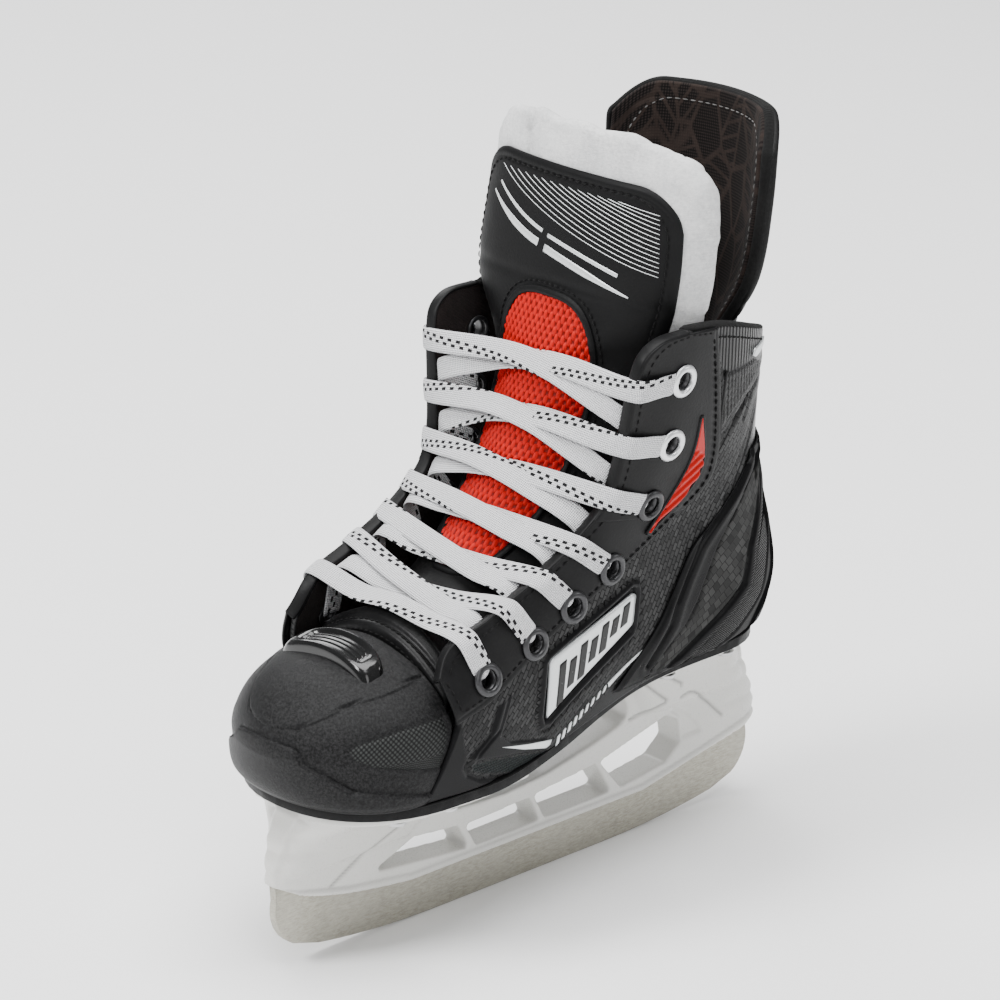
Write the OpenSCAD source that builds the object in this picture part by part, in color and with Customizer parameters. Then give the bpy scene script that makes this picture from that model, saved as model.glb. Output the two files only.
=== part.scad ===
// Youth ice hockey skate, left foot. Toe towards -Y, heel towards +Y, outer side towards +X.
// The origin is on the ice, under the middle of the runner.

/* [Runner and holder] */
// Length of the steel runner
runner_len = 198; // [190:1:206]
// Thickness of the steel runner
runner_t = 3; // [2.6:0.1:3.2]
// Height of the runner's upper edge where the holder begins
runner_h = 14.3; // [13.5:0.1:15]
// Half width of the holder's lower bar
bar_hw = 5.2; // [4.8:0.1:6]
// Radius of the rivet shanks
rivet_r = 1.6; // [1.4:0.1:2]

/* [Sole] */
// Height of the sole's underside below the ball of the foot
ball_z = 52; // [51:0.5:53]
// Height of the sole's underside below the heel
heel_z = 62; // [61:0.5:63]
// Thickness of the outsole
outsole_t = 3.4; // [3:0.1:4]

/* [Boot] */
// Thickness of the quarter shell
shell_t = 2.4; // [2:0.1:2.6]
// Thickness of the padded lining
liner_t = 2.5; // [2:0.1:2.6]
// Thickness of the glued and stitched overlays
overlay_t = 1; // [0.8:0.1:1.2]
// Clearance between stacked layers
gap = 0.35; // [0.3:0.05:0.4]
// Thickness of the toe cap
cap_t = 2.2; // [1.8:0.1:2.6]

/* [Lacing] */
// Inner radius of an eyelet
eyelet_r = 2.9; // [2.7:0.1:3.1]
// Radius of an eyelet's flange
flange_r = 5.1; // [4.8:0.1:5.4]
// Width of the flat lace
lace_w = 7; // [6:0.5:8]
// Thickness of the flat lace
lace_t = 1; // [0.8:0.1:1.2]

/* [Tongue and guard] */
// Thickness of the felt tongue
felt_t = 6.5; // [5:0.5:7]
// Height of the fold line of the tendon guard
guard_fold_z = 167; // [166:1:169]
// Thickness of the tendon guard's moulded back
guard_t = 2.4; // [2:0.1:2.8]

/* [Hidden] */
$fn = 48;
// 1 on the outer side of the boot and for middle parts, -1 on the inner side
$side = 1;

// ---------- curves through hand-set points ----------
function seg(k, t, i = 0) = (i >= len(k) - 2 || t < k[i + 1][0]) ? i : seg(k, t, i + 1);
function slope(k, i) =
  let (a = max(0, i - 1), b = min(len(k) - 1, i + 1)) (k[b][1] - k[a][1]) / (k[b][0] - k[a][0]);
function spline(k, t) =
  let (i = seg(k, t), h = k[i + 1][0] - k[i][0], u = min(1, max(0, (t - k[i][0]) / h)),
       m0 = slope(k, i) * h, m1 = slope(k, i + 1) * h)
  k[i][1] * (2 * pow(u, 3) - 3 * pow(u, 2) + 1) + m0 * (pow(u, 3) - 2 * pow(u, 2) + u)
  + k[i + 1][1] * (3 * pow(u, 2) - 2 * pow(u, 3)) + m1 * (pow(u, 3) - pow(u, 2));
function mix(a, b, t) = a + (b - a) * t;
function unit(v) = v / norm(v);
function super(c, n) = pow(max(0, 1 - pow(min(1, abs(c)), n)), 1 / n);

// ---------- sole ----------
sole_front = -96.5;
sole_back = 88.5;
toe_bend = -58;
heel_bend = 64;
sole_line = [
  [-97, ball_z], [-45, ball_z], [-32, ball_z + 0.6], [-17, ball_z + 3],
  [3, heel_z - 3.2], [20, heel_z - 0.8], [36, heel_z], [95, heel_z]
];
sole_width = [
  [-97, 36.5], [-58, 36.5], [-45, 37.2], [-28, 35.4], [-10, 33], [5, 30], [20, 27.2],
  [36, 25], [53, 24.2], [95, 24.2]
];
function sole_z(y) = spline(sole_line, y);
function sole_w(y) = spline(sole_width, y)
  * super(max(0, toe_bend - y) / (toe_bend - sole_front), 2.2)
  * super(max(0, y - heel_bend) / (sole_back - heel_bend), 2.2);
// Stations along the sole, closer together at both ends
function sole_y(u, inset) =
  mix(sole_front + inset, sole_back - inset, (1 - cos(180 * u)) / 2);
function sole_outline(inset, n = 40) =
  let (right = [for (i = [0:n]) let (y = sole_y(i / n, inset)) [max(0.4, sole_w(y) - inset), y]])
  concat(right, [for (i = [n:-1:0]) [-right[i][0], right[i][1]]]);
// A slab that follows the sole from lo to hi above its underside
module sole_slab(inset, lo, hi) {
  ys = [for (y = [-100:5:100]) y];
  intersection() {
    translate([0, 0, 40]) linear_extrude(50) polygon(sole_outline(inset));
    rotate([90, 0, 90]) translate([0, 0, -50]) linear_extrude(100)
      polygon(concat([for (y = ys) [y, sole_z(y) + lo]],
                     [for (i = [len(ys) - 1:-1:0]) [ys[i], sole_z(ys[i]) + hi]]));
  }
}

// ---------- outer surface of the boot ----------
back_line = [[52, 82], [62, 88.5], [70, 93.5], [84, 96.5], [98, 94.3], [113, 89.5], [130, 86.3],
             [150, 85.8], [170, 86.4], [185, 87]];
heel_reach = 42;
heel_arc = 60;
width_sections = [
  [54, [[-72, 35], [-50, 37], [-30, 35.4], [-10, 33.2], [5, 30.4], [20, 27.8], [36, 25.6], [60, 24.5], [95, 24.5]]],
  [66, [[-72, 36.6], [-50, 37.6], [-28, 36], [0, 33], [25, 29.5], [60, 27.4], [95, 27.4]]],
  [82, [[-72, 36.6], [-50, 37], [-25, 36], [10, 34.5], [40, 32.6], [95, 31]]],
  [98, [[-62, 30], [-45, 33.5], [-25, 35], [0, 36], [40, 33.8], [95, 31]]],
  [115, [[-40, 29.5], [-20, 33.5], [0, 37], [40, 35], [95, 33]]],
  [130, [[-10, 35.5], [0, 38.5], [15, 40], [50, 37.5], [95, 35]]],
  [150, [[0, 42], [20, 44], [55, 40], [95, 37]]],
  [183, [[0, 48], [25, 47.5], [55, 43], [95, 39]]]
];
function back_y(z) = spline(back_line, z);
function side_w(y, z) = spline([for (s = width_sections) [s[0], spline(s[1], y)]], z);
// y of a point that lies an arc s round from the middle of the heel
function y_at(s, z) = back_y(z)
  - (s < heel_arc ? heel_reach * (1 - cos(90 * s / heel_arc)) : heel_reach + s - heel_arc);
function s_at(y, z) = let (d = back_y(z) - y)
  d > heel_reach ? heel_arc + d - heel_reach : acos(1 - max(0, d) / heel_reach) * heel_arc / 90;
function shell_point(s, z) = let (y = y_at(s, z))
  [side_w(y, z) * sin(90 * min(1, s / heel_arc)), y, z];
function shell_normal(s, z) = let (s0 = max(s, 0.2))
  unit(cross(shell_point(s0 + 0.5, z) - shell_point(s0 - 0.2, z),
             shell_point(s0, z - 0.5) - shell_point(s0, z + 0.5)));
function shell_at(s, z, off) = shell_point(s, z) + off * shell_normal(s, z);
function side_at(p, off) = shell_at(s_at(p[0], p[1]), p[1], off);
// The inner side of the boot mirrors the outer one, but its ankle is lower and slimmer
far_shift = [[60, 0], [88, 1.2], [100, 3], [110, 3.6], [128, -1.2], [147, -4.2], [167, -6.2], [190, -6.6]];
far_slim = [[100, 1], [130, 0.985], [150, 0.95], [170, 0.92], [190, 0.92]];
function placed(p, side) = let (fade = min(1, max(0, (62 - p[1]) / 40)))
  side > 0 ? p : [-p[0] * mix(1, spline(far_slim, p[2]), fade), p[1], p[2] + fade * spline(far_shift, p[2])];

// A closed solid between two grids of points with the same rows and columns
function triangles(q) = [[q[0], q[1], q[2]], [q[0], q[2], q[3]]];
function reversed(f) = [f[2], f[1], f[0]];
module grid_solid(near, far) {
  rows = len(near);
  cols = len(near[0]);
  n = rows * cols;
  r = floor(rows / 2) - 1;
  c = floor(cols / 2) - 1;
  turn = cross(near[r][c + 1] - near[r][c], near[r + 1][c] - near[r][c]) * (near[r][c] - far[r][c]);
  quads = [for (i = [0:rows - 2]) for (j = [0:cols - 2])
    let (a = i * cols + j) [a, a + 1, a + cols + 1, a + cols]];
  rim = concat([for (j = [0:cols - 1]) j], [for (i = [1:rows - 1]) i * cols + cols - 1],
               [for (j = [cols - 2:-1:0]) (rows - 1) * cols + j], [for (i = [rows - 2:-1:1]) i * cols]);
  faces = [for (q = quads) each concat(
    triangles(q), [for (f = triangles(q)) reversed(f) + [n, n, n]])];
  sides = [for (i = [0:len(rim) - 1]) let (a = rim[i], b = rim[(i + 1) % len(rim)])
    each [[b, a, a + n], [b, a + n, b + n]]];
  flip = turn * $side > 0;
  polyhedron(points = [for (row = concat(flip ? far : near, flip ? near : far)) for (p = row) placed(p, $side)],
             faces = concat(faces, sides), convexity = 8);
}
// Outward axis at a place on the chosen side of the boot
module at_side(p, off) {
  a = placed(side_at(p, off), $side);
  d = unit(placed(side_at(p, off + 1), $side) - a);
  translate(a) rotate([0, acos(d[2]), atan2(d[1], d[0])]) children();
}

// ---------- outlines on the boot ----------
// The collar, as [arc from the heel seam, height]
collar_line = [[0, [0, 157.5]], [0.2, [18, 161]], [0.5, [42.6, 170]], [0.8, [63.5, 177.5]],
               [1, [83, 180.8]]];
// The other outlines are [y, z] on the side
throat_line = [[0, [22, 180.8]], [0.08, [10, 180.2]], [0.15, [3.8, 174.5]], [0.3, [1.4, 153]],
               [0.4, [0.2, 140]], [0.5, [-3, 130]], [0.6, [-12, 120.5]], [0.7, [-25, 112]],
               [0.83, [-42, 104.5]], [0.93, [-56, 99.5]], [1, [-62.5, 91]]];
eyestay_line = [[0, [35, 179]], [0.15, [38, 165]], [0.3, [41, 148]], [0.4, [42.5, 136]],
                [0.47, [40, 128]], [0.55, [27, 119.5]], [0.68, [5, 108]], [0.82, [-22, 94]],
                [0.93, [-44, 82.5]], [1, [-60, 78.5]]];
seam_line = [[54, -71], [76, -59.4], [81, -59.2], [92, -61.8]];
eyelets = [[-47, 88.2], [-28, 94.1], [-12.8, 101.6], [1.6, 110.1], [13.8, 128.2], [18.3, 146.9],
           [20.3, 166.7]];
function on_arc(p) = [s_at(p[0], p[1]), p[1]];
function top_edge(t) =
  t < 0.45 ? spline(collar_line, t / 0.45) : on_arc(spline(throat_line, (t - 0.45) / 0.55));
sole_gap = 0.5;
shell_low_z = ball_z + outsole_t + sole_gap;
shell_arc = s_at(-70, shell_low_z);
function low_edge(t, z_off) = let (s = t * shell_arc) [s, sole_z(y_at(s, shell_low_z)) + z_off];
function quarter_arc(t, v) =
  let (p = mix(low_edge(t, outsole_t + sole_gap), top_edge(t), v),
       end = mix(low_edge(1, outsole_t + sole_gap), top_edge(1), v),
       seam = s_at(spline(seam_line, end[1]) + 0.8, end[1]))
  p + [(seam - end[0]) * pow(t, 10), 0];
// One side of the shell as a grid, from the heel seam to the toe cap
function quarter_grid(off, nt = 30, nv = 12) =
  [for (i = [0:nt]) [for (j = [0:nv]) let (p = quarter_arc(i / nt, j / nv))
    shell_at(max(gap, p[0]), p[1], off)]];
module eyelet_holes(first, last, r) {
  for (i = [first:last]) at_side(eyelets[i], gap + overlay_t) translate([0, 0, -12]) cylinder(h = 16, r = r);
}
module quarter() {
  difference() {
    grid_solid(quarter_grid(0), quarter_grid(-shell_t));
    eyelet_holes(0, 6, eyelet_r + 0.65);
  }
}
function eyestay_grid(off, nt = 28, nv = 4) =
  [for (i = [0:nt]) [for (j = [0:nv])
    side_at(mix(spline(eyestay_line, i / nt), spline(throat_line, i / nt), j / nv), off)]];
module eyestay() {
  difference() {
    grid_solid(eyestay_grid(gap + overlay_t), eyestay_grid(gap));
    eyelet_holes(0, 6, eyelet_r + 0.65);
  }
}
// One eyelet: a barrel through the wall, an outer flange and an inner washer
module eyelet() {
  wall = shell_t + gap + overlay_t;
  rotate_extrude() polygon([
    [eyelet_r, -wall - 1.3], [flange_r - 0.9, -wall - 1.3], [flange_r - 0.9, -wall - 0.6],
    [eyelet_r + 0.5, -wall - 0.6], [eyelet_r + 0.5, 0.3], [flange_r, 0.3],
    [flange_r - 0.5, 1], [eyelet_r + 0.9, 1.3], [eyelet_r, 0.8]]);
}
module eyelet_row(first, last) {
  for ($side = [1, -1]) for (i = [first:last]) at_side(eyelets[i], gap + overlay_t) eyelet();
}

// ---------- padded lining ----------
// Upper edge of the lining from the heel seam forward; it stays behind the eyelets
lining_rim = [[0, [86.1, 155.5]], [0.12, [81.8, 158.8]], [0.3, [63, 168]], [0.44, [43, 175]],
              [0.52, [32, 176.5]], [0.56, [30.5, 171]], [0.64, [28, 148]], [0.72, [22.5, 128.5]],
              [0.79, [11, 109.5]], [0.86, [-6.5, 92.5]], [0.93, [-31, 84.5]], [1, [-57, 76]]];
function lining_grid(off, nt = 26, nv = 9) =
  [for (i = [0:nt]) [for (j = [0:nv])
    let (p = mix(low_edge(i / nt * 0.93, 6.6), on_arc(spline(lining_rim, i / nt)), j / nv))
    shell_at(max(gap, p[0]), p[1], off)]];
module lining() {
  grid_solid(lining_grid(-shell_t - gap), lining_grid(-shell_t - gap - liner_t));
}

// ---------- heel counter ----------
counter_front = [[67, 8], [74, 15], [84, 24], [93, 30], [100, 34], [107, 39], [112, 46], [120, 56],
                 [126, 62], [131, 66]];
counter_top = 130;
function counter_grid(off, rows = 14, cols = 24) =
  [for (i = [0:rows]) [for (j = [0:cols])
    let (z = mix(heel_z + outsole_t + 1.6, counter_top, i / rows), s1 = s_at(spline(counter_front, z), z),
         s = s1 * abs(2 * j / cols - 1))
    placed(shell_at(s, z, off), j * 2 < cols ? -1 : 1)]];
module heel_counter() {
  color("#1b1b1d") grid_solid(counter_grid(gap), counter_grid(gap + 1.5));
}

// ---------- toe cap ----------
cap_waist = 70;
cap_top = 94.2;
cap_round = 2.05;
plan_round = 2.1;
cap_front = [[54, -96.8], [60, -99.8], [70, -101.6]];
cap_width = [[54, 34.6], [60, 35.9], [70, 36.3]];
function cap_point(theta, w, off) =
  let (z0 = w < 0 ? mix(cap_waist, ball_z + outsole_t + gap, -w) : cap_waist,
       c = w < 0 ? 1 : pow(cos(90 * w), 2 / cap_round),
       s = w < 0 ? 0 : pow(sin(90 * w), 2 / cap_round),
       z = z0 + (cap_top + off - cap_waist) * s,
       back = spline(seam_line, min(z, 80)),
       a = (spline(cap_width, z0) + off) * c,
       reach = (back - spline(cap_front, z0) + off) * c)
  [a * sign(sin(theta)) * pow(abs(sin(theta)), 2 / plan_round),
   back - reach * pow(abs(cos(theta)), 2 / plan_round), z];
function cap_grid(off) =
  [for (i = [-4:11]) [for (j = [0:32])
    let (theta = -90 + 180 * j / 32, w = i < 0 ? i / 4 : i / 11.6)
    cap_point(theta, w, off)]];
module toe_cap() {
  color("#222224") grid_solid(cap_grid(0), cap_grid(-cap_t));
}
// Height of the toe cap over a place on it
function cap_z(x, y) =
  let (r = pow(pow(abs(x) / spline(cap_width, 70), plan_round)
             + pow(max(0, -59.4 - y) / (-59.4 - spline(cap_front, 70)), plan_round), 1 / plan_round))
  cap_waist + (cap_top - cap_waist) * super(r, cap_round);
badge_hw = 19;
badge_y = -68;
badge_hh = 5.5;
function badge_grid(off) =
  [for (i = [0:20]) let (u = cos(180 * i / 20), hh = max(0.6, badge_hh * super(u, 3)))
    [for (j = [0:4]) let (x = badge_hw * u, y = badge_y + 0.012 * x * x * 0.6 + hh * (j / 2 - 1))
      [x, y, cap_z(x, y) + off]]];
module toe_badge() {
  color("#101012") grid_solid(badge_grid(gap + 0.1), badge_grid(2.4));
}
// Padded strip that closes the boot between the toe cap and the tongue
vamp_arc = [[0, [-58.6, 90.6]], [0.3, [-57, 96.5]], [0.6, [-51.5, 99.3]], [1, [-46.5, 99.6]]];
function vamp_grid(off) =
  [for (i = [0:8]) [for (j = [0:14])
    let (p = spline(vamp_arc, i / 8), q = j / 7 - 1, x = 29.5 * q)
    [x, p[0] + off * 0.35, p[1] - 13 * q * q - off]]];
module toe_vamp() {
  color("#161617") grid_solid(vamp_grid(0), vamp_grid(4));
}

// ---------- tongue ----------
// Middle of the front face, half width and how far the edges curl back, for each height
tongue_path = [
  [0, [-44.5, 100.6]], [0.12, [-28, 109.3]], [0.25, [-13, 125.5]], [0.37, [-3, 142]],
  [0.5, [5, 160]], [0.64, [11, 180]], [0.7, [13, 188]], [0.85, [17, 212]], [1, [20, 235]]
];
tongue_half = [[0, 28.6], [0.12, 28.8], [0.25, 30.6], [0.37, 32.6], [0.5, 35.2], [0.64, 38.2],
               [0.7, 45], [0.78, 48], [0.88, 47], [0.95, 44.5], [1, 38]];
tongue_curl = [[0, 13], [0.12, 17], [0.25, 20], [0.37, 23], [0.5, 24], [0.64, 23], [0.7, 22.5], [0.85, 20], [1, 14]];
// Share of the curl at a share q of the half width: a broad front that turns sharply at the edges
curl_turn = [[0, 1], [0.5, 0.9], [0.66, 0.5], [0.8, 0.35], [1, 0.6]];
function curled(u, q) = mix(pow(abs(q), 7), q * q, spline(curl_turn, u));
fold_u = 0.7;
function tongue_dir(u) = unit(spline(tongue_path, min(1, u + 0.01)) - spline(tongue_path, max(0, u - 0.01)));
// Point of the tongue at a height u, a share q of its half width, and a depth behind the front
function tongue_at(u, q, depth) =
  let (p = spline(tongue_path, u), d = tongue_dir(u), k = spline(tongue_curl, u) * curled(u, q) + depth,
       round = u > 0.9 ? 14 * pow((u - 0.9) / 0.1, 2) * pow(abs(q), 4) : 0)
  [spline(tongue_half, u) * q - depth * q * 0.55, p[0] + d[1] * k - d[0] * round,
   p[1] - d[0] * k - d[1] * round];
function tongue_grid(u0, u1, q1, depth, rows, cols = 14) =
  [for (i = [0:rows]) [for (j = [0:cols])
    tongue_at(mix(u0, u1, i / rows), q1 * (2 * j / cols - 1), depth)]];
module tongue_layer(u0, u1, q1, d0, d1, rows) {
  grid_solid(tongue_grid(u0, u1, q1, d0, rows), tongue_grid(u0, u1, q1, d1, rows));
}
fold_gap = 0.003;
facing_t = 1;
module tongue_felt() {
  color("white") tongue_layer(0, fold_u - fold_gap, 1, facing_t + gap, felt_t, 14);
}
module tongue_facing() {
  color("#1c1c1e") difference() {
    tongue_layer(0, fold_u - fold_gap, 0.86, 0, facing_t, 14);
    mesh_window(0.2);
  }
}
// Outline of the window that the mesh shows through, seen from the front
module mesh_window(grow) {
  rotate([90, 0, 0]) translate([0, 0, -60]) linear_extrude(140)
    polygon([for (a = [0:10:350]) let (up = sin(a), w = 16.5 + 2.5 * up + grow)
      [w * super(up, 2.6) * sign(cos(a)), 146 + (38 + grow) * up]]);
}
module tongue_mesh() {
  color("#d8261c") intersection() {
    tongue_layer(0, fold_u - fold_gap, 0.8, 0.1, facing_t - 0.05, 14);
    mesh_window(0);
  }
}
module tongue_top_felt() {
  color("white") tongue_layer(fold_u + fold_gap, 1, 1, facing_t + gap, felt_t + 0.5, 8);
}
module tongue_top_facing() {
  color("#1c1c1e") tongue_layer(fold_u + fold_gap, 0.95, 0.84, 0, facing_t, 8);
}

// ---------- tendon guard ----------
guard_line = [[150, 81.8], [158, 82], [167, 82.6], [200, 85.6], [231, 88.5]];
guard_half = [[157, 16.5], [167, 23], [183, 32], [205, 35], [231, 35]];
guard_top_z = 231;
guard_low_z = 156.6;
function guard_at(u, q, z0, z1, off) =
  let (corner = z1 < guard_top_z ? 0 : 10 * pow(max(0, abs(q) - 0.62) / 0.38, 2.4),
       z = mix(z0, z1 - corner, u))
  [(spline(guard_half, z) + off) * q,
   spline(guard_line, z) + off - 16.4 * (1 - sqrt(1 - pow(q * 0.86, 2))) / 0.49, z];
function guard_grid(z0, z1, off, rows, cols = 18) =
  [for (i = [0:rows]) [for (j = [0:cols]) guard_at(i / rows, 2 * j / cols - 1, z0, z1, off)]];
module guard_layer(z0, z1, outer, inner, rows) {
  grid_solid(guard_grid(z0, z1, outer, rows), guard_grid(z0, z1, inner, rows));
}
module tendon_guard() {
  color("#171718") guard_layer(guard_fold_z, guard_top_z, 0, -guard_t, 9);
}
module guard_lining() {
  color("#3a2a28") guard_layer(guard_fold_z, guard_top_z, -guard_t - gap, -guard_t - gap - 1.6, 9);
}
module guard_base() {
  color("#171718") guard_layer(guard_low_z, guard_fold_z - 0.4, 0, -guard_t, 2);
}

// ---------- collar ----------
binding_r = 0.9;
module collar_binding() {
  n = 22;
  ring = 8;
  pts = [for (i = [0:n]) let (p = spline(collar_line, mix(0.36, 1, i / n)))
    shell_at(p[0], p[1], -(shell_t + gap + liner_t) / 2) + [0, 0, binding_r + 0.3]];
  loop = [for (i = [0:n]) let (d = unit(pts[min(n, i + 1)] - pts[max(0, i - 1)]),
                               e1 = unit(cross(d, [0, 0, 1])), e2 = cross(e1, d))
    [for (k = [0:ring - 1]) pts[i] + 2.4 * cos(360 * k / ring) * e1 + binding_r * sin(360 * k / ring) * e2]];
  tube(loop);
}
// A closed tube from a list of rings
module tube(rings) {
  n = len(rings);
  m = len(rings[0]);
  walls = [for (i = [0:n - 2]) for (k = [0:m - 1])
    let (a = i * m + k, b = i * m + (k + 1) % m) each [[a, b, b + m], [a, b + m, a + m]]];
  caps = [for (k = [1:m - 2]) each [[0, k + 1, k], [(n - 1) * m, (n - 1) * m + k, (n - 1) * m + k + 1]]];
  faces = concat(walls, caps);
  polyhedron(points = [for (r = rings) for (p = r) placed(p, $side)],
             faces = $side > 0 ? faces : [for (f = faces) reversed(f)], convexity = 6);
}

// ---------- boards inside the boot ----------
module lasting_board() {
  color("#5b4636") difference() {
    sole_slab(3.5, outsole_t + gap, outsole_t + gap + 2);
    rivets() cylinder(h = 40, r = rivet_r + 0.05);
  }
}
module footbed() {
  color("#2b2b2e") sole_slab(6.4, outsole_t + 3.9, outsole_t + 6.4);
}
module outsole() {
  color("#19191a") difference() {
    sole_slab(0, 0, outsole_t);
    rivets() cylinder(h = 40, r = rivet_r + 0.05);
  }
}

// ---------- overlays on the side ----------
// A patch between two outlines that run from end to end
module side_patch(line_a, line_b, off, thick, n = 12, m = 3) {
  function g(o) = [for (i = [0:n]) [for (j = [0:m])
    side_at(mix(spline(line_a, i / n), spline(line_b, i / n), j / m), o)]];
  grid_solid(g(off + thick), g(off));
}
insert_front = [[0, [30.6, 152.6]], [0.5, [27.8, 137.6]], [1, [15, 118.6]]];
insert_back = [[0, [31.6, 152.2]], [0.5, [34.4, 133]], [1, [16, 117.8]]];
module ankle_insert() {
  color("#c8281e") side_patch(insert_front, insert_back, 2 * gap + overlay_t, 0.8);
}
plate_low = [[0, [-22.2, 69.2]], [1, [15.4, 83]]];
plate_high = [[0, [-21.2, 82.6]], [1, [13, 98.6]]];
module side_badge() {
  color("#d9dcdd") side_patch(plate_low, plate_high, gap, 1.2, 10, 4);
}

// ---------- holder and runner ----------
front_rivets = [[-25, -72], [25, -72], [-27.5, -54], [27.5, -54], [-26, -38], [26, -38]];
rear_rivets = [[-16.7, 46], [16.7, 46], [-16, 72], [16, 72]];
plate_t = 3.5;
module rivets() {
  for (p = concat(front_rivets, rear_rivets)) translate([p[0], p[1], sole_z(p[1]) - plate_t - 4]) children();
}
holder_bar = [
  [-92, 50], [-93, 47], [-96, 43], [-98.5, 37], [-100.3, 31], [-99.5, 27], [-92, 23.3],
  [-83, 20.2], [-73, 17.8], [-61, 15.8], [-48, runner_h], [48, runner_h], [60, 16.6],
  [72, 19], [84, 21], [95, 23], [100, 25], [100.3, 28.5], [98, 33.5], [94.5, 41],
  [91, 49], [88.5, 59], [34, 59], [38, 51], [41.2, 45], [41, 41.5], [38, 39.4],
  [26, 36.2], [7, 32.3], [-10, 31], [-30, 31.8], [-36, 36], [-34, 43], [-28, 50]
];
windows = [
  [[-47.2, 28], [-64, 21.6], [-25, 17.8], [-29.2, 26]],
  [[-26.3, 25.5], [-21.8, 17.6], [4.2, 17.9], [0.1, 26.4]],
  [[1.9, 26.8], [6.4, 18], [34.6, 18.2], [27.6, 29.2]],
  [[29.8, 29.4], [38.7, 18.4], [58, 21], [64.5, 26], [63, 34], [58, 36.5]]
];
// Widths of the towers from the bar up to the sole plate: [height, half width, front, back]
front_tower = [[30, 6.6, -99, -46], [41, 10, -96, -35], [48.2, 20, -91, -27]];
rear_tower = [[40, 6.6, 45, 94], [50, 8.5, 40, 90], [58.2, 12, 34, 88]];
module tower_slab(t) {
  r = min(t[1], 12);
  translate([0, 0, t[0]]) linear_extrude(0.3) hull() {
    for (x = [r - t[1], t[1] - r]) for (y = [t[2] + r, t[3] - r]) translate([x, y]) circle(r, $fn = 32);
  }
}
module tower(slabs) {
  for (i = [0:len(slabs) - 2]) hull() {
    tower_slab(slabs[i]);
    tower_slab(slabs[i + 1]);
  }
}
module under_sole() {
  ys = [for (y = [-105:5:105]) y];
  rotate([90, 0, 90]) translate([0, 0, -60]) linear_extrude(120)
    polygon(concat([[-105, 0]], [for (y = ys) [y, sole_z(y)]], [[105, 0]]));
}
module plate(y0, y1, z) {
  intersection() {
    translate([0, 0, z]) linear_extrude(20) intersection() {
      polygon(sole_outline(4.5));
      translate([-40, y0]) square([80, y1 - y0]);
    }
    under_sole();
  }
}
module side_cut(points, half) {
  rotate([90, 0, 90]) translate([0, 0, -half]) linear_extrude(2 * half) polygon(points);
}
runner_low = [for (y = [-86:4:86]) [y, 3.3 * pow(max(0, abs(y) - 30) / 50, 2.3)]];
nose_r = 13.2;
function arc_points(c, r, a0, a1, n = 8) =
  [for (i = [0:n]) c + r * [cos(mix(a0, a1, i / n)), sin(mix(a0, a1, i / n))]];
function runner_outline() = concat(
  [for (p = runner_low) if (abs(p[0]) < 85) p],
  arc_points([runner_len / 2 - nose_r - 1.5, 18], nose_r, -60, 15),
  [[runner_len / 2 - 1.6, 25.4], [88, 25.4], [88, 32], [80, 32], [80, 22.2], [66, 19.4], [50, runner_h + 2],
   [-50, runner_h + 2], [-66, 18.6], [-76, 20.6], [-76, 31], [-86, 31], [-86, 23.5], [-94, 26.4],
   [-runner_len / 2 + 0.6, 26.4]],
  arc_points([-runner_len / 2 + nose_r + 0.5, 18], nose_r, 165, 240));
module runner() {
  color("#b9b4a6") side_cut(runner_outline(), runner_t / 2);
}
holder_tip = 100.3;
// The bar seen from above, with a round nose and heel
bar_plan = concat(
  [for (i = [-12:12]) let (y = holder_tip * sin(7.5 * i)) [bar_hw * super(max(0, abs(y) - 90) / 10.4, 2), y]],
  [for (i = [12:-1:-12]) let (y = holder_tip * sin(7.5 * i)) [-bar_hw * super(max(0, abs(y) - 90) / 10.4, 2), y]]);
module holder() {
  color("#efeee9") difference() {
    intersection() {
      union() {
        intersection() {
          side_cut(holder_bar, bar_hw);
          linear_extrude(70) polygon(bar_plan);
        }
        tower(front_tower);
        tower(rear_tower);
        plate(-93, -24, ball_z - plate_t);
        plate(32, 88.5, heel_z - plate_t);
      }
      under_sole();
    }
    for (w = windows) side_cut(w, 40);
    side_cut(runner_outline(), runner_t / 2 + 0.04);
    rivets() cylinder(h = 40, r = rivet_r + 0.05);
  }
}
module holder_rivets() {
  color("#9a9a9a") rivets() {
    translate([0, 0, 2.5]) cylinder(h = 1, r = 3);
    translate([0, 0, 3.4]) cylinder(h = plate_t + outsole_t + gap + 3, r = rivet_r);
    translate([0, 0, 4 + plate_t + outsole_t + gap + 2.3]) cylinder(h = 0.9, r = 3);
  }
}

// ---------- lace ----------
over_t = [0.9, 0.79, 0.69, 0.6, 0.46, 0.32, 0.2];
cross_u = [0.03, 0.13, 0.22, 0.31, 0.42, 0.53];
function other_side(p, side) = [side * p[0], p[1], p[2]];
// A point a height off above the shell on either side, with the way that it faces
function stop(p, off, side) = let (a = placed(side_at(p, off), side))
  [a, placed(side_at(p, off + 1), side) - a];
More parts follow.
